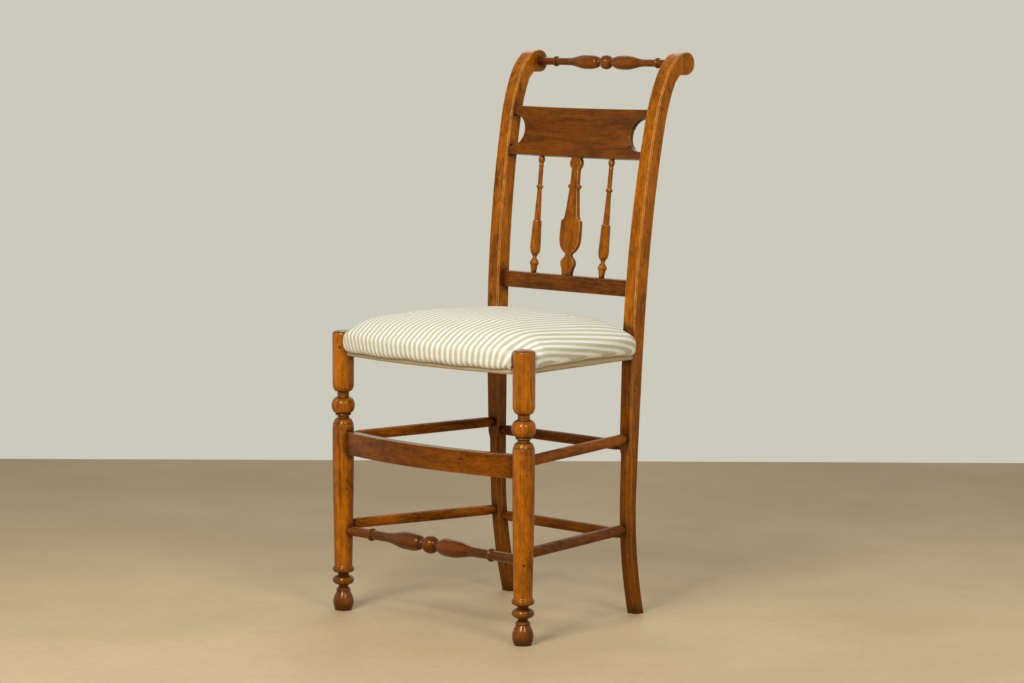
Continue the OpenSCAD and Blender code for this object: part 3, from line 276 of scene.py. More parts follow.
# The fine marks lie over that, each by its amount and its colour
for mask, amount, tint in ((spread(grain, fibres, 0.35, 0.65), 0.16, (0.10, 0.028, 0.002, 1)),
                           (pores, 0.35, (0.07, 0.02, 0.002, 1)),
                           (streak, 0.50, (0.06, 0.017, 0.002, 1)),
                           (specks, grain_in["Flecks"], (0.030, 0.010, 0.002, 1))):
    wood = mixed(grain, times(grain, mask, amount), wood, tint)
plug(grain, grain_out["Color"], wood)
dull = plus(grain, times(grain, lines, 0.08), times(grain, patina, 0.10))
plug(grain, grain_out["Roughness"], plus(grain, dull, 0.15))
sunk = plus(grain, times(grain, pores, 0.5), times(grain, specks, grain_in["Flecks"]))
plug(grain, grain_out["Height"], less(grain, times(grain, fibres, 0.35), sunk))
print("fruitwood group:", len(grain.nodes), "nodes")

# %% [markdown]
# A hundred and fifty years of dusting leave dirt and old polish where a cloth can't reach, and rub
# the arrises pale. The wear and light group takes a mask of the hollows and one of the edges, made in
# each material, and darkens or warms the wood by them: the hollows get that dirt and painted shade,
# the arrises wear and a painted highlight. The mark group is a dark round spot at one place.

# %% The wear and painted light group, and the mark group
# The rubbed colour is pale wear and a painted highlight on the arrises; the grime colour is dirt and
# painted shade in the hollows
RUBBED_AND_HIGHLIGHT_COLOR, GRIME_AND_SHADE_COLOR = (0.95, 0.58, 0.24, 1), (0.022, 0.007, 0.002, 1)
SCUFF_COLOR, SCUFF_HEIGHT = (0.085, 0.035, 0.012, 1), 0.055
wear_and_light, wear_and_light_in, wear_and_light_out = new_group(
    "wear_and_light",
    [("Color", "Color", (0.5, 0.5, 0.5, 1)), ("Roughness", "Float", 0.3), ("Vector", "Vector", (0, 0, 0)),
     ("Hollow", "Float", 0.0), ("Edge", "Float", 0.0), ("Height above floor", "Float", 1.0)],
    [("Color", "Color"), ("Roughness", "Float")])
uneven = spread(wear_and_light, cloud(wear_and_light, wear_and_light_in["Vector"], 60.0, 3.0, 0.6), 0.3, 0.60, 0.62, 1.0)
dirt_and_shade = times(wear_and_light, wear_and_light_in["Hollow"], uneven)
scuff = times(wear_and_light, spread(wear_and_light, wear_and_light_in["Height above floor"], 0.0, SCUFF_HEIGHT, 0.55, 0.0),
              spread(wear_and_light, cloud(wear_and_light, wear_and_light_in["Vector"], 95.0, 3.0, 0.65), 0.40, 0.60))
# Pale arrises: wear, and a painted highlight along the edges
rubbed_and_highlight = times(wear_and_light, wear_and_light_in["Edge"],
               spread(wear_and_light, cloud(wear_and_light, wear_and_light_in["Vector"], 140.0, 2.0, 0.6), 0.32, 0.60, 0.45, 1.0))
worn_lit_and_shaded = mixed(wear_and_light, times(wear_and_light, rubbed_and_highlight, 0.85), wear_and_light_in["Color"], RUBBED_AND_HIGHLIGHT_COLOR)
# The hollows that ambient occlusion finds darken: dirt and painted shade
worn_lit_and_shaded = mixed(wear_and_light, times(wear_and_light, dirt_and_shade, 0.90), worn_lit_and_shaded, GRIME_AND_SHADE_COLOR)
plug(wear_and_light, wear_and_light_out["Color"], mixed(wear_and_light, scuff, worn_lit_and_shaded, SCUFF_COLOR))
dulled = plus(wear_and_light, times(wear_and_light, dirt_and_shade, 0.22), times(wear_and_light, scuff, 0.3))
plug(wear_and_light, wear_and_light_out["Roughness"], plus(wear_and_light, wear_and_light_in["Roughness"], dulled))

mark, mark_in, mark_out = new_group(
    "mark",
    [("Vector", "Vector", (0, 0, 0)), ("Place", "Vector", (0, 0, 0)), ("Stretch", "Vector", (1, 1, 1)),
     ("Radius", "Float", 0.002)],
    [("Mask", "Float")])
offset = vector_of(mark, "SUBTRACT", mark_in["Vector"], mark_in["Place"])[0]
away = vector_of(mark, "LENGTH", scaled(mark, offset, mark_in["Stretch"]))["Value"]
ragged = times(mark, cloud(mark, mark_in["Vector"], 700.0, 2.0), 0.7)
reach = times(mark, mark_in["Radius"], plus(mark, ragged, 0.65))
inside = less(mark, 1.0, sum_of(mark, "DIVIDE", away, reach))
plug(mark, mark_out["Mask"], spread(mark, inside, -0.25, 0.42, 0.0, 0.92))
print("wear and mark groups:", len(wear_and_light.nodes), "and", len(mark.nodes), "nodes")

# %% [markdown]
# The frame's pieces come from different boards and took the stain differently: the posts and legs are
# honey coloured, the tablet and lower rail browner, the front stretcher redder. Each piece gets its
# own material, with its grain along its length and a place of its own in the noise.

# %% Colours and marks of the wood
HONEY, AMBER, UMBER = (0.52, 0.147, 0.001, 1), (0.26, 0.065, 0.001, 1), (0.125, 0.029, 0.001, 1)
DEEP, RUSSET, SHADE = (0.062, 0.014, 0.001, 1), (0.185, 0.042, 0.001, 1), (0.050, 0.010, 0.001, 1)
# The lightest of these is painted light on the front legs' tops
TAWNY, NUT, PAINTED_LEG_LIGHT = (0.41, 0.114, 0.001, 1), (0.21, 0.052, 0.001, 1), (0.66, 0.20, 0.002, 1)
HOLE_COLOR, SHELLAC = (0.035, 0.013, 0.003, 1), (1.0, 0.50, 0.06, 1)
# Turns the grain, which is Z in its group, to a piece's length
ALONG = {"z": (0, 0, 0), "x": (0, math.pi / 2, 0), "y": (math.pi / 2, 0, 0)}

# Piece: grain, light colour, dark colour, figure, streaks, flecks
WOOD = {
    "front_leg_left": ("z", HONEY, DEEP, 0.34, 0.50, 0.9),
    "front_leg_right": ("z", HONEY, DEEP, 0.34, 0.50, 0.9),
    "stile_left": ("z", HONEY, DEEP, 0.35, 0.50, 0.9),
    "stile_right": ("z", HONEY, DEEP, 0.27, 0.40, 0.8),
    "crest_spindle": ("x", AMBER, DEEP, 0.40, 0.50, 0.4),
    "back_tablet": ("x", NUT, DEEP, 0.55, 0.45, 0.15),
    "lower_back_rail": ("x", AMBER, DEEP, 0.50, 0.50, 0.3),
    "back_spindle_left": ("z", HONEY, UMBER, 0.40, 0.55, 0.3),
    "back_spindle_right": ("z", HONEY, UMBER, 0.40, 0.55, 0.3),
    "back_splat": ("z", TAWNY, UMBER, 0.45, 0.60, 0.3),
    "front_apron": ("x", AMBER, DEEP, 0.40, 0.50, 0.4),
    "turned_stretcher": ("x", RUSSET, SHADE, 0.50, 0.50, 0.5),
    "side_stretcher_upper_left": ("y", TAWNY, DEEP, 0.40, 0.50, 0.4),
    "side_stretcher_upper_right": ("y", TAWNY, UMBER, 0.40, 0.50, 0.4),
    "side_stretcher_lower_left": ("y", TAWNY, DEEP, 0.40, 0.50, 0.5),
    "side_stretcher_lower_right": ("y", AMBER, DEEP, 0.45, 0.50, 0.5),
    "back_stretcher_upper": ("x", AMBER, DEEP, 0.45, 0.50, 0.4),
    "back_stretcher_lower": ("x", AMBER, DEEP, 0.45, 0.50, 0.4),
}
# Nail holes, cracks, knots and chips, as (place, stretch, radius), by the piece that they are on
MARKS = {
    "front_leg_left": [((-0.1903, -0.1978, 0.3828), (1, 1, 0.5), 0.0012),
                       ((-0.1980, -0.2025, 0.4385), (1, 1, 0.2), 0.0014)],
    "front_leg_right": [((0.2147, -0.1959, 0.1246), (1, 1, 1), 0.0024),
                        ((0.2203, -0.1883, 0.4007), (1, 1, 0.16), 0.0016),
                        ((0.2190, -0.1930, 0.4180), (1, 1, 0.3), 0.0012),
                        ((0.2195, -0.1960, 0.2420), (1, 1, 0.4), 0.0016)],
    "stile_left": [((-0.1433, 0.0984, 0.2939), (1, 1, 1), 0.0022),
                   ((-0.1533, 0.1158, 0.6519), (1, 1, 0.4), 0.0012)],
    "stile_right": [((0.1557, 0.0984, 0.3005), (1, 1, 0.5), 0.0018),
                    ((0.1555, 0.1439, 0.8100), (1, 1, 0.3), 0.0014)],
    "front_apron": [((0.0932, -0.2112, 0.2774), (0.3, 1, 1), 0.0018),
                    ((0.1474, -0.2024, 0.2652), (0.5, 1, 1), 0.0012)],
    "back_tablet": [((0.0217, 0.1522, 0.7975), (1, 1, 0.35), 0.0020),
                    ((0.1194, 0.1371, 0.7474), (0.4, 1, 0.6), 0.0018)],
    "lower_back_rail": [((0.1099, 0.1125, 0.5279), (0.10, 1, 1), 0.0013)],
}
# The arrises that hands and dusters rub most, pale from wear and from a painted highlight
RUBBED_AND_HIGHLIGHT = {"stile_left": 1.0, "stile_right": 1.0, "back_splat": 0.9, "front_apron": 0.6}
LESS_RUBBED_AND_HIGHLIGHT = 0.35
print("colours for", len(WOOD), "pieces, marks on", len(MARKS))

# %% [markdown]
# The lathe burnishes what it turns, a sawn and planed board shines a little less, and the shaved
# stretchers stay dull. All of them have a thin coat of shellac, which tints the shine. Edges are found
# where Bevel's rounded normal leaves the true one, and hollows by ambient occlusion.

# %% Polished wood
ARRIS_WIDTH, HOLLOW_REACH = 0.0019, 0.018
# Each finish: added roughness, specular level, coat weight
SHAVED, SAWN, TURNED = (0.20, 0.20, 0.03), (0.0, 0.32, 0.09), (0.0, 0.34, 0.24)
COAT_ROUGHNESS = 0.08
LEG_SCRIBES = (0.3455, 0.3190, 0.3035)


def finish_of(piece):
    """How the piece was worked decides how it shines."""
    if "stretcher_" in piece:
        return SHAVED
    return TURNED if any(word in piece for word in ("leg", "spindle", "turned")) else SAWN


def edge_and_hollow(tree):
    """Masks of the convex arrises and of the hollows, and the rounded normal, made in the material."""
    soft = put(tree, "Bevel", {"samples": 4}, Radius=ARRIS_WIDTH).outputs["Normal"]
    flat = put(tree, "NewGeometry").outputs["True Normal"]
    open_air = put(tree, "AmbientOcclusion", {"samples": 6}, Distance=HOLLOW_REACH).outputs["AO"]
    edge = spread(tree, vector_of(tree, "DOT_PRODUCT", soft, flat)["Value"], 0.985, 0.88)
    edge = times(tree, edge, spread(tree, open_air, 0.70, 0.95))
    return edge, spread(tree, open_air, 0.94, 0.70), soft


def scribed(tree, height, places):
    """The lines that the turner cut with the point of a skew, as rings at their heights."""
    cut = 0.0
    for z in places:
        off = sum_of(tree, "ABSOLUTE", less(tree, height, z))
        cut = sum_of(tree, "MAXIMUM", cut, spread(tree, off, 0.0013, 0.0005, 0.0, 0.70))
    return cut


def leg_top(tree, piece, where, height, color):
    """The end grain on top of a front leg: fine rings round the heart, darker than the sides."""
    low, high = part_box(piece)
    heart = Vector(((low.x + high.x) / 2 + 0.004, (low.y + high.y) / 2 + 0.003, 0))
    centred = put(tree, "Mapping", Vector=where, Location=-heart, Scale=(1, 1, 0)).outputs[0]
    rings = put(tree, "TexWave", {"wave_type": "RINGS", "rings_direction": "Z"}, Vector=centred,
                Scale=170.0, Distortion=1.6, Detail=2.0, Detail_Scale=1.2).outputs["Fac"]
    checks = spread(tree, cloud(tree, scaled(tree, where, (1, 1, 0)), 420.0, 2.0), 0.60, 0.72)
    end = mixed(tree, spread(tree, rings, 0.2, 0.9), (0.19, 0.062, 0.014, 1), (0.105, 0.034, 0.009, 1))
    end = mixed(tree, checks, end, (0.03, 0.011, 0.005, 1))
    return mixed(tree, spread(tree, height, high.z - 0.0052, high.z - 0.0036), color, end)


def stain_and_painted_light(tree, piece, axes, color):
    """Darker feet and crest ends, painted light on the front legs' tops, painted shade on the stiles below
    the seat.
    """
    height = axes["Z"]
    if piece in ("front_leg_left", "front_leg_right"):
        # Painted light: each front leg is lighter at its top, above the shade under the seat
        color = mixed(tree, spread(tree, height, 0.34, 0.39, 0.0, 0.20), color, PAINTED_LEG_LIGHT)
        color = mixed(tree, spread(tree, height, 0.078, 0.067, 0.0, 0.55), color, SHADE)
    if piece == "crest_spindle":
        from_centre = sum_of(tree, "ABSOLUTE", axes["X"])
        color = mixed(tree, spread(tree, from_centre, 0.085, 0.145, 0.0, 0.55), color, DEEP)
    if piece in ("stile_left", "stile_right"):
        # Painted shade: each stile darkens below the seat, and more towards the floor
        color = mixed(tree, spread(tree, height, 0.43, 0.36, 0.0, 0.30), color, DEEP)
        color = mixed(tree, spread(tree, height, 0.36, 0.08, 0.0, 0.52), color, DEEP)
    return color


def polished_wood(piece, number):
    """The material of one polished piece."""
    way, honey, brown, figure, streaks, flecks = WOOD[piece]
    made, tree, shader = new_material("wood_" + piece)
    where = put(tree, "TexCoord").outputs["Object"]
    axes = axes_of(tree, where)
    turned_to = put(tree, "Mapping", Vector=where, Rotation=ALONG[way],
                    Location=(0.37 * number, 0.53 * number, 0.29 * number)).outputs[0]
    wood_of = use_group(tree, grain, Vector=turned_to, Honey=honey, Brown=brown, Figure=figure,
                        Streaks=streaks, Flecks=flecks)
    edge, hollow, soft = edge_and_hollow(tree)
    # How pale each piece's arrises are: wear and a painted highlight
    edge = times(tree, edge, RUBBED_AND_HIGHLIGHT.get(piece, LESS_RUBBED_AND_HIGHLIGHT))
    used = use_group(tree, wear_and_light, Color=wood_of["Color"], Roughness=wood_of["Roughness"], Vector=where,
                     Hollow=hollow, Edge=edge, Height_above_floor=axes["Z"])
    color, raised = used["Color"], wood_of["Height"]
    for spot, stretch, radius in MARKS.get(piece, []):
        mask = use_group(tree, mark, Vector=where, Place=spot, Stretch=stretch, Radius=radius)["Mask"]
        color = mixed(tree, mask, color, HOLE_COLOR)
        raised = less(tree, raised, times(tree, mask, 4.0))
    color = stain_and_painted_light(tree, piece, axes, color)
    if piece in ("front_leg_left", "front_leg_right"):
        color = leg_top(tree, piece, where, axes["Z"], color)
        cut = scribed(tree, axes["Z"], LEG_SCRIBES)
        color = mixed(tree, cut, color, HOLE_COLOR)
        raised = less(tree, raised, times(tree, cut, 0.8))
    bump = put(tree, "Bump", Strength=0.35, Distance=0.00035, Height=raised, Normal=soft)
    added, gloss, coat = finish_of(piece)
    plug(tree, shader.inputs["Base Color"], color)
    plug(tree, shader.inputs["Roughness"], plus(tree, used["Roughness"], added))
    plug(tree, shader.inputs["Normal"], bump.outputs["Normal"])
    shader.inputs["Specular IOR Level"].default_value = gloss
    shader.inputs["Specular Tint"].default_value = SHELLAC
    shader.inputs["Coat Weight"].default_value = coat
    shader.inputs["Coat Roughness"].default_value = COAT_ROUGHNESS
    return made


for number, piece in enumerate(WOOD):
    nodes[piece].data.materials[0] = polished_wood(piece, number)
print("polished pieces:", len(WOOD))

# %% [markdown]
# The seat rails are inside the upholstery, so they are planed but never stained or polished: paler,
# matt and with the plane's long ripples. The pegs are their wood too, darkened by the leg's polish.

# %% Frame wood
RAW_LIGHT, RAW_DARK = (0.50, 0.33, 0.17, 1), (0.34, 0.20, 0.09, 1)
RAILS = {"seat_rail_front": "x", "seat_rail_back": "x", "seat_rail_left": "y", "seat_rail_right": "y"}


def raw_wood(label, way, light, dark, dullness):
    """Planed wood without polish."""
    made, tree, shader = new_material(label)
    where = put(tree, "TexCoord").outputs["Object"]
    turned_to = put(tree, "Mapping", Vector=where, Rotation=ALONG[way]).outputs[0]
    wood_of = use_group(tree, grain, Vector=turned_to, Honey=light, Brown=dark, Figure=0.5, Streaks=0.6,
                        Flecks=0.3)
    bump = put(tree, "Bump", Strength=0.5, Distance=0.0005, Height=wood_of["Height"])
    plug(tree, shader.inputs["Base Color"], wood_of["Color"])
    plug(tree, shader.inputs["Roughness"], plus(tree, wood_of["Roughness"], dullness))
    plug(tree, shader.inputs["Normal"], bump.outputs["Normal"])
    return made


for piece, way in RAILS.items():
    nodes[piece].data.materials[0] = raw_wood("raw_" + piece, way, RAW_LIGHT, RAW_DARK, 0.35)
nodes["tenon_pegs"].data.materials[0] = raw_wood("peg_wood", "y", UMBER, SHADE, 0.1)
print("rails and pegs finished")

# %% [markdown]
# The seat's cloths are cut to its plan: bowed in front, tapering to the back, and notched round the
# four posts. The plan's numbers come from the frame, so the cloths fit it by themselves.


# %% The seat's plan
def middle(low, high):
    return (low + high) / 2


leg_low, leg_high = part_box("front_leg_right")
LEG_X, LEG_Y, LEG_R = middle(leg_low.x, leg_high.x), middle(leg_low.y, leg_high.y), 0.0175
FRONT_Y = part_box("seat_rail_front")[0].y
FRONT_END_Y = LEG_Y - 0.0032
BACK_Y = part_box("seat_rail_back")[1].y
STILE_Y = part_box("stile_right")[0].y
STILE_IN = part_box("seat_rail_back")[1].x - 0.006
side_rail = nodes["seat_rail_right"]
BACK_HALF = max(p.x for p in (side_rail.matrix_world @ v.co for v in side_rail.data.vertices)
                if abs(p.y - STILE_Y) < 0.001)
BOW = FRONT_END_Y - FRONT_Y
BOW_R = (LEG_X ** 2 + BOW ** 2) / (2 * BOW)


def front_edge(x):
    """The front rail's outer face, an arc."""
    return FRONT_Y + BOW_R - math.sqrt(BOW_R ** 2 - min(abs(x), LEG_X) ** 2)


def side_edge(y):
    """The side rails' outer faces, half the seat's width at y."""
    return LEG_X + (BACK_HALF - LEG_X) * (y - LEG_Y) / (STILE_Y - LEG_Y)


def post_distance(points):
    """How far each point stands from the nearest post, in plan."""
    x, y = np.abs(points[:, 0]), points[:, 1]
    leg = np.hypot(x - LEG_X, y - LEG_Y) - LEG_R
    stile = np.hypot(np.maximum(STILE_IN - x, 0), np.maximum(STILE_Y - y, 0))
    return np.minimum(leg, stile)


print("seat plan:", round(2 * LEG_X, 3), "to", round(2 * BACK_HALF, 3), "m wide")

# %% [markdown]
# Upholstery is a sequence of small pulls and tucks. These helpers select one piece, apply its
# modifiers and read or move all of its points at once, which is quicker than a loop over them.


# %% Modelling helpers
def only(piece):
    """Selects one object and nothing else."""
    if bpy.context.object and bpy.context.object.mode == "EDIT":
        bpy.ops.object.mode_set(mode="OBJECT")
    bpy.ops.object.select_all(action="DESELECT")
    piece.select_set(True)
    bpy.context.view_layer.objects.active = piece


def apply_all(piece):
    """Applies every modifier of a piece, in order."""
    only(piece)
    for m in [m.name for m in piece.modifiers]:
        bpy.ops.object.modifier_apply(modifier=m)
    return piece


def join(pieces):
    """Makes one mesh of several, under the first one's name."""
    only(pieces[0])
    for piece in pieces:
        piece.select_set(True)
    bpy.ops.object.join()
    return pieces[0]


def settle(piece, slot, *replaced):
    """A finished piece: smooth, on the chair's one body, for the CAD nodes it replaces. The slot is not
    used.
    """
    only(piece)
    bpy.ops.object.shade_smooth()
    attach(piece, "root")
    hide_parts(*replaced)
    print(piece.name, len(piece.data.polygons), "faces")


def coords(piece, what="co"):
    """A piece's points as an array, or their normals where what is normal."""
    flat = np.empty(len(piece.data.vertices) * 3)
    piece.data.vertices.foreach_get(what, flat)
    return flat.reshape(-1, 3)


def set_coords(piece, points):
    piece.data.vertices.foreach_set("co", points.ravel())
    piece.data.update()


def smoothly(value, low, high):
    """Runs smoothly from 0 to 1 while value goes from low to high."""
    t = np.clip((value - low) / (high - low), 0, 1)
    return t * t * (3 - 2 * t)


def drift_at(x, y, z):
    """Soft noise, between about -1 and 1, at each of many places."""
    return np.array([noise.noise(Vector(place)) for place in np.broadcast(x, y, z)])


print("modelling helpers ready")

# %% [markdown]
# The cushion is built up over the frame: stuffing is domed on the hessian, and the striped cover is
# pulled over it and tacked along the rails. The CAD's cover and stuffing give its outline. They are
# joined, after the stuffing is grown to meet the cover, and remeshed into one closed pad. Its top is
# then smoothed until no step of the solids is left in it.

# %% Cushion: one closed pad
PAD_VOXEL, STUFFING_GROWS, DOME_FROM = 0.004, 0.0016, 0.452
SMOOTHINGS, DOME_SMOOTHINGS = 6, 45
pads = []
for node in ("seat_cover", "seat_stuffing"):
    part = bpy.data.objects.new("pad_" + node, nodes[node].data.copy())
    bpy.context.scene.collection.objects.link(part)
    only(part)
    bpy.ops.object.mode_set(mode="EDIT")
    bpy.ops.mesh.customdata_custom_splitnormals_clear()
    bpy.ops.mesh.select_all(action="SELECT")
    bpy.ops.mesh.remove_doubles(threshold=0.00001)
    if node == "seat_stuffing":
        bpy.ops.transform.shrink_fatten(value=STUFFING_GROWS)
    bpy.ops.object.mode_set(mode="OBJECT")
    pads.append(part)
cushion = join(pads)
cushion.name = "seat_cushion"
cushion.data.remesh_voxel_size = PAD_VOXEL
bpy.ops.object.voxel_remesh()
bpy.ops.object.mode_set(mode="EDIT")
bpy.ops.mesh.select_all(action="SELECT")
bpy.ops.mesh.vertices_smooth(factor=0.5, repeat=SMOOTHINGS)
bpy.ops.mesh.normals_make_consistent(inside=False)
bpy.ops.mesh.select_all(action="DESELECT")
bpy.ops.object.mode_set(mode="OBJECT")
for face in cushion.data.polygons:
    face.select = bool(face.center.z > DOME_FROM and face.normal.z > 0.1)
bpy.ops.object.mode_set(mode="EDIT")
bpy.ops.mesh.vertices_smooth(factor=0.5, repeat=DOME_SMOOTHINGS)
bpy.ops.object.mode_set(mode="OBJECT")
print("pad:", len(cushion.data.vertices), "points")

# %% [markdown]
# Cloth simulation with pressure inside fills the pad out as real stuffing does. The tacked edge, the
# underside and the parts against the posts are held by a vertex group. Only the outward part of each
# point's way is kept, and it is capped, so that the seat keeps the outline of its solids.

# %% Cushion: cloth simulation
PRESSURE, FRAMES, MOST_SWELL = 4.0, 20, 0.004
TACK_HEIGHT, HELD_BY_POST = 0.006, 0.006
start, facing = coords(cushion), coords(cushion, "normal")
edge_z = start[:, 2].min()
inner = (facing[:, 2] < -0.35) & (start[:, 2] > edge_z + 0.002)
under = facing[:, 2] < -0.6
held = np.where(inner | under | (post_distance(start) < HELD_BY_POST), 1.0, 0.0)
held = np.where(start[:, 2] < edge_z + TACK_HEIGHT, 1.0, held)
held = np.maximum(held, 1 - smoothly(start[:, 2], edge_z, edge_z + 3 * TACK_HEIGHT))
group = cushion.vertex_groups.new(name="held")
for index in np.nonzero(held > 0.01)[0]:
    group.add([int(index)], float(held[index]), "REPLACE")
swell = cushion.modifiers.new("swell", "CLOTH")
swell.settings.quality = 5
swell.settings.mass = 0.3
swell.settings.tension_stiffness = swell.settings.compression_stiffness = 12
swell.settings.bending_stiffness = 0.6
swell.settings.use_pressure = True
swell.settings.uniform_pressure_force = PRESSURE
swell.settings.effector_weights.gravity = 0
swell.settings.vertex_group_mass = "held"
swell.collision_settings.use_collision = False
for step in range(1, FRAMES + 1):
    bpy.context.scene.frame_set(step)
apply_all(cushion)
bpy.context.scene.frame_set(1)
swelled = np.maximum(np.einsum("ij,ij->i", coords(cushion) - start, facing), 0)
set_coords(cushion, start + facing * (MOST_SWELL * np.tanh(swelled / MOST_SWELL))[:, None])
print("swelled by up to", round(float(swelled.max()) * 1000, 1), "mm before the cap")
cushion.vertex_groups.clear()

# %% [markdown]
# Two places want a hand's help, as they do on the bench. The stuffing is packed hardest at the
# shoulders, where the dome turns down to its sides, and the cover is pulled tight round the legs.

# %% Cushion: shoulders and posts
SHOULDER, SHOULDER_Z, SHOULDER_FADE = 0.0050, (0.434, 0.452, 0.464, 0.486), 0.02
HUG_GAP, HUG_REACH = 0.0003, 0.011
points, facing = coords(cushion), coords(cushion, "normal")
packed = smoothly(points[:, 2], *SHOULDER_Z[:2]) * (1 - smoothly(points[:, 2], *SHOULDER_Z[2:]))
packed *= smoothly(post_distance(points), 0.0, SHOULDER_FADE)
points = points + facing * (SHOULDER * packed)[:, None]
for side in (-1, 1):
    away = points[:, :2] - np.array([side * LEG_X, LEG_Y])
    reach = np.linalg.norm(away, axis=1)
    gap = reach - LEG_R
    share = np.clip(gap / HUG_REACH, 0, 1)
    drawn = np.where(gap < HUG_REACH, HUG_GAP * (1 - share) + share ** 2 * HUG_REACH, gap)
    points[:, :2] += away * ((drawn - gap) / reach)[:, None]
set_coords(cushion, points)
print("shoulders packed by up to", round(float(packed.max()) * SHOULDER * 1000, 1), "mm")

# %% [markdown]
# The ticking was flat before it was pulled over the pad, so its stripes keep their spacing across
# the top and down each side. That is a measure along the cloth, not across the room. Each point gets
# the cloth's own two coordinates: those that best follow, from point to point, the way the weave
# turns with the surface. A few hundred steps of conjugate gradients find them.

# %% Cushion: coordinates of the cloth
EVENING, POST_MARGIN, SOLVER_STEPS, LOOSE = 22, 0.012, 400, 0.02


def cloth_ways(facing):
    """The directions of the cloth's width and length at each point, turned from level to the surface."""
    x, y, z = facing.T
    k = 1 / (1 + np.maximum(z, -0.9))
    across = np.stack([1 - k * x * x, -k * x * y, -x], 1)
    along = np.stack([-k * x * y, 1 - k * y * y, -y], 1)
    return across, along


def evened(facing, a, b, times_over):
    """Normals averaged with their neighbours', without those of the flat underside."""
    counted = (facing[:, 2] > -0.5).astype(float)[:, None]
    facing = np.column_stack([facing[:, :2], np.maximum(facing[:, 2], -0.1)])
    for _ in range(times_over):
        total = np.stack([f + np.bincount(a, f[b], len(f)) + np.bincount(b, f[a], len(f))
                          for f in (facing * counted).T], 1)
        facing = total / np.maximum(np.linalg.norm(total, axis=1), 1e-6)[:, None]
    return facing


def follow_cloth(piece):
    """Solves both cloth coordinates over the mesh and stores them as the attribute cloth."""
    pairs = np.empty(len(piece.data.edges) * 2, int)
    piece.data.edges.foreach_get("vertices", pairs)
    a, b = pairs.reshape(-1, 2).T
    points, first_facing = coords(piece), coords(piece, "normal")
    facing = evened(first_facing, a, b, EVENING)
    step = points[b] - points[a]
    weight = np.where((first_facing[a, 2] > -0.25) & (first_facing[b, 2] > -0.25), 1.0, LOOSE)
    by_posts = np.minimum(post_distance(points[a]), post_distance(points[b])) < POST_MARGIN
    weight = np.where(by_posts, LOOSE, weight)
    count = len(points)
    total = np.bincount(a, weight, count) + np.bincount(b, weight, count)

    def gathered(flow):
        return np.bincount(b, flow, count) - np.bincount(a, flow, count)

    result = []
    for way, u in zip(cloth_ways(facing), (points[:, 0], points[:, 1])):
        want = gathered(weight * np.einsum("ij,ij->i", (way[a] + way[b]) / 2, step))
        left = want - gathered(weight * (u[b] - u[a]))
        push = left / total
        size = left @ push
        for _ in range(SOLVER_STEPS):
            moved = gathered(weight * (push[b] - push[a]))
            gain = size / (push @ moved)
            u = u + gain * push
            left = left - gain * moved
            fresh = left @ (left / total)
            push = left / total + fresh / size * push
            size = fresh
        result.append(u)
    u, v = result
    top = (np.abs(points[:, 0]) < 0.004) & (facing[:, 2] > 0.7)
    u = u - u[top].mean()
    made = piece.data.attributes.new("cloth", "FLOAT_VECTOR", "POINT")
    made.data.foreach_set("vector", np.stack([u, v, np.zeros(count)], 1).ravel())
    return u, v


u, v = follow_cloth(cushion)
print("cloth", round(float(np.ptp(u)), 3), "m wide over the seat,", round(float(np.ptp(v)), 3), "m long")

# %% [markdown]
# Each tack draws the cover in a little, so its edge runs in shallow gathers and its hem wanders. The
# hem also rises between the posts at each side. Last, one subdivision rounds the mesh.

# %% Cushion: gathers along the tacked edge
TACK_STEP = 0.026
GATHER_DEPTH, GATHER_HEIGHT, SIDE_LIFT, HEM_WANDER = 0.0011, 0.014, 0.0035, 0.0022
points, facing = coords(cushion), coords(cushion, "normal")
low = 1 - smoothly(points[:, 2], edge_z + 0.002, edge_z + GATHER_HEIGHT)
outer = np.clip(np.hypot(facing[:, 0], facing[:, 1]), 0, 1) * (facing[:, 2] > -0.5)
run = np.where(np.abs(facing[:, 1]) > np.abs(facing[:, 0]), u, v)
pucker = np.abs(np.sin(math.pi * (run / TACK_STEP + 0.35 * drift_at(run * 40, 3.1, 0.0))))
points = points + facing * (GATHER_DEPTH * (pucker - 0.75) * low * outer)[:, None]
along_side = np.clip((points[:, 1] - LEG_Y) / (STILE_Y - LEG_Y), 0, 1)
side_x = side_edge(points[:, 1])
at_side = smoothly(np.abs(points[:, 0]), side_x - 0.012, side_x - 0.002)
drawn_up = np.sin(math.pi * along_side ** 0.8) * at_side * (points[:, 1] > LEG_Y)
points[:, 2] += SIDE_LIFT * drawn_up * (1 - smoothly(points[:, 2], edge_z, edge_z + 0.035))
points[:, 2] += HEM_WANDER * drift_at(run * 22, 7.7, 0.0) * low * (post_distance(points) > 0.004)
set_coords(cushion, points)
finer = cushion.modifiers.new("finer", "SUBSURF")
finer.levels = finer.render_levels = 1
apply_all(cushion)
print("gathers every", TACK_STEP * 1000, "mm")

# %% [markdown]
# The cover is cotton ticking: cream with sage stripes, in a fine twill. The stripes read the cloth's
# width, and so do the twill's ribs. Soft patches of soil keep it from looking new.

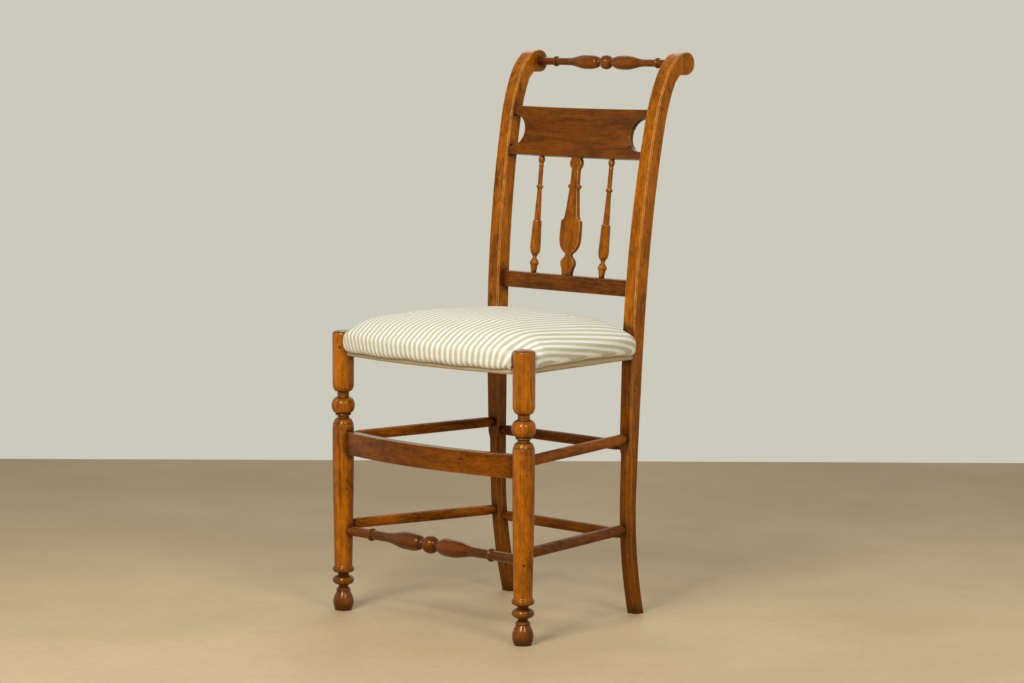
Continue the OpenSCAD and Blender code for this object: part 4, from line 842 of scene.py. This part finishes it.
# %% Striped cloth
STRIPE_PERIOD, STRIPE_SHARE, STRIPE_SOFT = 0.0110, 0.54, 0.035
CREAM, SAGE, SAGE_CORE = (0.92, 0.89, 0.83, 1), (0.55, 0.54, 0.35, 1), (0.47, 0.465, 0.27, 1)
striped, tree, shader = new_material("striped_cloth")
weave = put(tree, "Attribute", {"attribute_type": "GEOMETRY", "attribute_name": "cloth"}).outputs["Vector"]
wobble = times(tree, less(tree, cloud(tree, weave, 30.0), 0.5), 0.0012)
width = plus(tree, axes_of(tree, weave)["X"], wobble)
turn = sum_of(tree, "DIVIDE", plus(tree, width, 20 * STRIPE_PERIOD), STRIPE_PERIOD)
from_middle = sum_of(tree, "ABSOLUTE", less(tree, sum_of(tree, "FRACT", turn), 0.5))
sage_mask = spread(tree, from_middle, STRIPE_SHARE / 2 + STRIPE_SOFT, STRIPE_SHARE / 2 - STRIPE_SOFT)
sage = mixed(tree, times(tree, spread(tree, from_middle, 0.15, 0.02), 0.35), SAGE, SAGE_CORE)
cloth_color = mixed(tree, sage_mask, CREAM, sage)
twill = put(tree, "TexWave", {"wave_type": "BANDS", "bands_direction": "DIAGONAL"}, Vector=weave,
            Scale=420.0, Distortion=0.6, Detail=1.0).outputs["Fac"]
thread = cloud(tree, scaled(tree, weave, (1, 0.08, 1)), 2600.0, 2.0)
slubs = spread(tree, thread, 0.3, 0.7)
soil = spread(tree, cloud(tree, weave, 11.0, 3.0), 0.45, 0.75, 0.0, 0.10)
cloth_color = mixed(tree, times(tree, twill, 0.10), cloth_color, (0.62, 0.58, 0.45, 1))
cloth_color = mixed(tree, times(tree, slubs, 0.08), cloth_color, (0.98, 0.96, 0.88, 1))
cloth_color = mixed(tree, soil, cloth_color, (0.60, 0.52, 0.36, 1))
bump = put(tree, "Bump", Strength=0.4, Distance=0.0002, Height=plus(tree, twill, times(tree, thread, 0.8)))
plug(tree, shader.inputs["Base Color"], cloth_color)
plug(tree, shader.inputs["Roughness"], plus(tree, times(tree, slubs, 0.12), 0.78))
plug(tree, shader.inputs["Normal"], bump.outputs["Normal"])
shader.inputs["Sheen Weight"].default_value = 0.15
shader.inputs["Sheen Roughness"].default_value = 0.5
cushion.data.materials.clear()
cushion.data.materials.append(striped)
settle(cushion, "striped_cloth", "seat_cover", "seat_stuffing")

# %% [markdown]
# Under the striped cover a plain cotton lining closes the seat. It is one sheet: flat under the
# rails, notched round the posts and turned up outside the rails, where a narrow beige band of it shows
# below the stripes. The same sheet, without the turned-up edge, makes the hessian.


# %% Sheets cut to the seat's plan
def seat_sheet(label, z, inset, turn_up, cells=(84, 68)):
    """A sheet cut to the seat's plan, with its edges turned up, as a single layer of faces."""
    bpy.ops.object.select_all(action="DESELECT")
    bpy.ops.mesh.primitive_grid_add(x_subdivisions=cells[0], y_subdivisions=cells[1], size=2)
    piece = bpy.context.object
    piece.name = label
    points = coords(piece)
    y_back = BACK_Y - inset
    for i, (s, t, _) in enumerate(points):
        share = (t + 1) / 2
        x = s * (side_edge(LEG_Y + share * (y_back - LEG_Y)) - inset)
        y_front = front_edge(x) + inset
        points[i] = (x, y_front + share * (y_back - y_front), z)
    set_coords(piece, points)
    bpy.ops.object.mode_set(mode="EDIT")
    bpy.ops.mesh.select_all(action="DESELECT")
    bpy.ops.object.mode_set(mode="OBJECT")
    for face in piece.data.polygons:
        face.select = bool(post_distance(np.array([face.center]))[0] < POST_NOTCH)
    bpy.ops.object.mode_set(mode="EDIT")
    bpy.ops.mesh.select_mode(type="FACE")
    bpy.ops.mesh.delete(type="FACE")
    if turn_up:
        bpy.ops.mesh.select_mode(type="EDGE")
        bpy.ops.mesh.select_all(action="SELECT")
        bpy.ops.mesh.region_to_loop()
        for _ in range(4):
            bpy.ops.mesh.extrude_edges_move(TRANSFORM_OT_translate={"value": (0, 0, turn_up / 4)})
    bpy.ops.object.mode_set(mode="OBJECT")
    area = sum(f.area for f in piece.data.polygons)
    print(label, "cut from", round(area, 4), "square metres")
    return piece, area


def thickened(piece, thickness):
    """Gives a sheet its thickness, half to each side."""
    thick = piece.modifiers.new("thick", "SOLIDIFY")
    thick.thickness, thick.offset = thickness, 0
    return piece


POST_NOTCH, TURN_UP, LINING_PROUD = 0.003, 0.020, 0.0009
LINING_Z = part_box("seat_lining")[0].z + 0.0016
LINING_SAG, CENTRE_SAG, RIM_LIFT, BAND_RIPPLE, BAND_SAG = 0.0012, 0.0006, 0.0016, 0.0006, 0.0005
SEAT_CENTRE = np.array([0, -0.04])
lining, lining_area = seat_sheet("lining_cloth", LINING_Z, -LINING_PROUD, TURN_UP)
points = coords(lining)
x, y = points[:, 0].copy(), points[:, 1].copy()
sag = drift_at(x * 14, y * 14, 1.7)
up_share = smoothly(points[:, 2], LINING_Z, LINING_Z + TURN_UP)
out = points[:, :2] - SEAT_CENTRE
from_centre = np.linalg.norm(out, axis=1)
points[:, 2] += LINING_SAG * sag * (1 - up_share) - CENTRE_SAG * (1 - smoothly(from_centre, 0.08, 0.2))
at_rim = smoothly(points[:, 2], LINING_Z - 0.001, LINING_Z + 0.003) * (1 - up_share)
points[:, 2] += RIM_LIFT * (drift_at(x * 24, y * 24, 3.9) + 0.4) * at_rim
waves = BAND_RIPPLE * drift_at(x * 55, y * 55, 5.3) + BAND_SAG * sag
points[:, :2] += out / from_centre[:, None] * ((up_share > 0.02) * waves)[:, None]
set_coords(lining, points)
rounded = thickened(lining, 0.0008).modifiers.new("rounded", "SUBSURF")
rounded.levels = rounded.render_levels = 1
apply_all(lining)

# %% [markdown]
# Lining, hessian and webbing are all plain weaves, so one material function makes them: two sines
# cross for the threads, and noise makes them uneven and stained. Only thread and colours differ.

# %% Lining and hessian cloth
LINEN, LINEN_DARK = (0.56, 0.47, 0.29, 1), (0.38, 0.30, 0.17, 1)
JUTE, JUTE_DARK = (0.42, 0.30, 0.16, 1), (0.24, 0.16, 0.08, 1)
HESSIAN_INSET, HESSIAN_BULGE, HESSIAN_THICK = 0.006, 0.00015, 0.0007


def plain_weave(label, light, dark, thread_width, depth, stains):
    """A plain woven cloth: threads over and under each other, uneven and a little soiled."""
    made, tree, shader = new_material(label)
    where = put(tree, "TexCoord").outputs["Object"]
    axes = axes_of(tree, where)
    turns = math.pi / thread_width
    across = sum_of(tree, "SINE", times(tree, axes["X"], turns))
    along = sum_of(tree, "SINE", times(tree, plus(tree, axes["Y"], axes["Z"]), turns))
    over_under = spread(tree, times(tree, across, along), -0.6, 0.6)
    uneven = spread(tree, cloud(tree, where, 1 / thread_width, 2.0), 0.3, 0.7)
    stain = spread(tree, cloud(tree, where, 14.0, 3.0), 0.4, 0.75, 0.0, stains)
    color = mixed(tree, times(tree, over_under, 0.25), light, dark)
    color = mixed(tree, times(tree, uneven, 0.25), color, dark)
    plug(tree, shader.inputs["Base Color"], mixed(tree, stain, color, dark))
    plug(tree, shader.inputs["Roughness"], plus(tree, times(tree, uneven, 0.15), 0.8))
    bump = put(tree, "Bump", Strength=0.6, Distance=depth, Height=over_under)
    plug(tree, shader.inputs["Normal"], bump.outputs["Normal"])
    return made


lining.data.materials.append(plain_weave("lining_cloth", LINEN, LINEN_DARK, 0.0005, 0.0002, 0.3))
settle(lining, "lining_cloth", "seat_lining")

hessian_low, hessian_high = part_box("seat_hessian")
hessian, hessian_area = seat_sheet("hessian_cloth", middle(hessian_low.z, hessian_high.z), HESSIAN_INSET, 0)
points = coords(hessian)
points[:, 2] += HESSIAN_BULGE * drift_at(points[:, 0] * 20, points[:, 1] * 20, 8.8)
set_coords(hessian, points)
apply_all(thickened(hessian, HESSIAN_THICK))
hessian.data.materials.append(plain_weave("hessian", JUTE, JUTE_DARK, 0.0016, 0.0005, 0.35))
settle(hessian, "hessian", "seat_hessian")

# %% [markdown]
# Six strips of webbing carry the stuffing. They are interlaced, each passing over one and under the
# next, and nailed to the tops of the rails. Each strip is a narrow grid that rises and falls smoothly
# where it crosses the others. They differ in place, length and whether they start over or under.

# %% Webbing
STRAP_W, STRAP_T, STRAP_INSET = 0.05, 0.0009, 0.006
web_low, web_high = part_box("seat_webbing")
WEB_MID = middle(web_low.z, web_high.z)
WEB_RISE = (web_high.z - web_low.z - STRAP_T) / 2 - 0.0001
LONG_X = [i * (2 * LEG_X - 4 * LEG_R) / 3.4 for i in (-1, 0, 1)]
CROSS_Y = [LEG_Y + 2 * LEG_R + STRAP_W * (0.5 + 1.45 * i) for i in (0, 1, 2)]


def strap(label, start_at, end_at, crossings, phase):
    """A strip from one point to another, over or under at each crossing."""
    run = (end_at - start_at).length
    way = (end_at - start_at).normalized()
    aside = Vector((-way.y, way.x, 0))
    bpy.ops.object.select_all(action="DESELECT")
    bpy.ops.mesh.primitive_grid_add(x_subdivisions=72, y_subdivisions=6, size=2)
    piece = bpy.context.object
    piece.name = label
    points = coords(piece)
    for i, (s, t, _) in enumerate(points):
        at = (s + 1) / 2 * run
        height = 0.0
        for number, crossing in enumerate(crossings):
            near = 1 - smoothly(abs(at - crossing), STRAP_W * 0.35, STRAP_W * 0.72)
            height += (1 if (number + phase) % 2 else -1) * near
        here = start_at + way * at + aside * (t * STRAP_W / 2)
        points[i] = (here.x, here.y, WEB_MID + WEB_RISE * float(np.clip(height, -1, 1)))
    set_coords(piece, points)
    return apply_all(thickened(piece, STRAP_T))


straps = []
for i, x in enumerate(LONG_X):
    y0, y1 = web_low.y + 0.002, web_high.y - 0.001
    straps.append(strap(f"strap_long_{i}", Vector((x, y0, 0)), Vector((x, y1, 0)),
                        [y - y0 for y in CROSS_Y], i))
for i, y in enumerate(CROSS_Y):
    half = side_edge(y + STRAP_W / 2) - STRAP_INSET
    straps.append(strap(f"strap_cross_{i}", Vector((-half, y, 0)), Vector((half, y, 0)),
                        [x + half for x in LONG_X], i + 1))
webbing = join(straps)
webbing.name = "webbing_straps"
webbing.data.materials.clear()
webbing.data.materials.append(
    plain_weave("webbing", (0.45, 0.34, 0.20, 1), (0.22, 0.13, 0.06, 1), 0.0022, 0.0006, 0.3))
settle(webbing, "webbing", "seat_webbing")

# %% [markdown]
# The chair stands on a plain pale floor. Its far edge lies where the photograph's floor meets the
# wall, so the picture keeps that line. The floor is only a stage, and keeps the chair's shadow. It
# darkens towards that edge, by its own coordinates, because the lamps stand near the camera.

# %% Floor
FLOOR_HALF = 1.75
FLOOR_PALE, FLOOR_BUFF = (0.62, 0.468, 0.255, 1), (0.54, 0.405, 0.22, 1)
FLOOR_GRIT, FLOOR_FAR = (0.34, 0.265, 0.155, 1), (0.30, 0.232, 0.13, 1)
yaw = math.radians(CAMERA_YAW)
bpy.ops.object.select_all(action="DESELECT")
bpy.ops.mesh.primitive_grid_add(x_subdivisions=8, y_subdivisions=8, size=2 * FLOOR_HALF,
                                rotation=(0, 0, yaw))
floor = bpy.context.object
floor.name = "floor"
bpy.ops.object.transform_apply(location=True, rotation=True, scale=True)
concrete, tree, shader = new_material("pale_floor")
where = put(tree, "TexCoord").outputs["Object"]
drift = spread(tree, cloud(tree, where, 2.2, 4.0, 0.6), 0.3, 0.7)
grit = spread(tree, cloud(tree, where, 60.0, 4.0, 0.7), 0.3, 0.7)
towards_wall = vector_of(tree, "DOT_PRODUCT", where, (-math.sin(yaw), math.cos(yaw), 0))["Value"]
color = mixed(tree, drift, FLOOR_PALE, FLOOR_BUFF)
color = mixed(tree, times(tree, grit, 0.18), color, FLOOR_GRIT)
color = mixed(tree, spread(tree, towards_wall, -0.2, 1.5, 0.0, 0.62), color, FLOOR_FAR)
plug(tree, shader.inputs["Base Color"], color)
plug(tree, shader.inputs["Roughness"], plus(tree, times(tree, drift, 0.1), 0.62))
floor.data.materials.append(concrete)
print("floor", 2 * FLOOR_HALF, "m square")
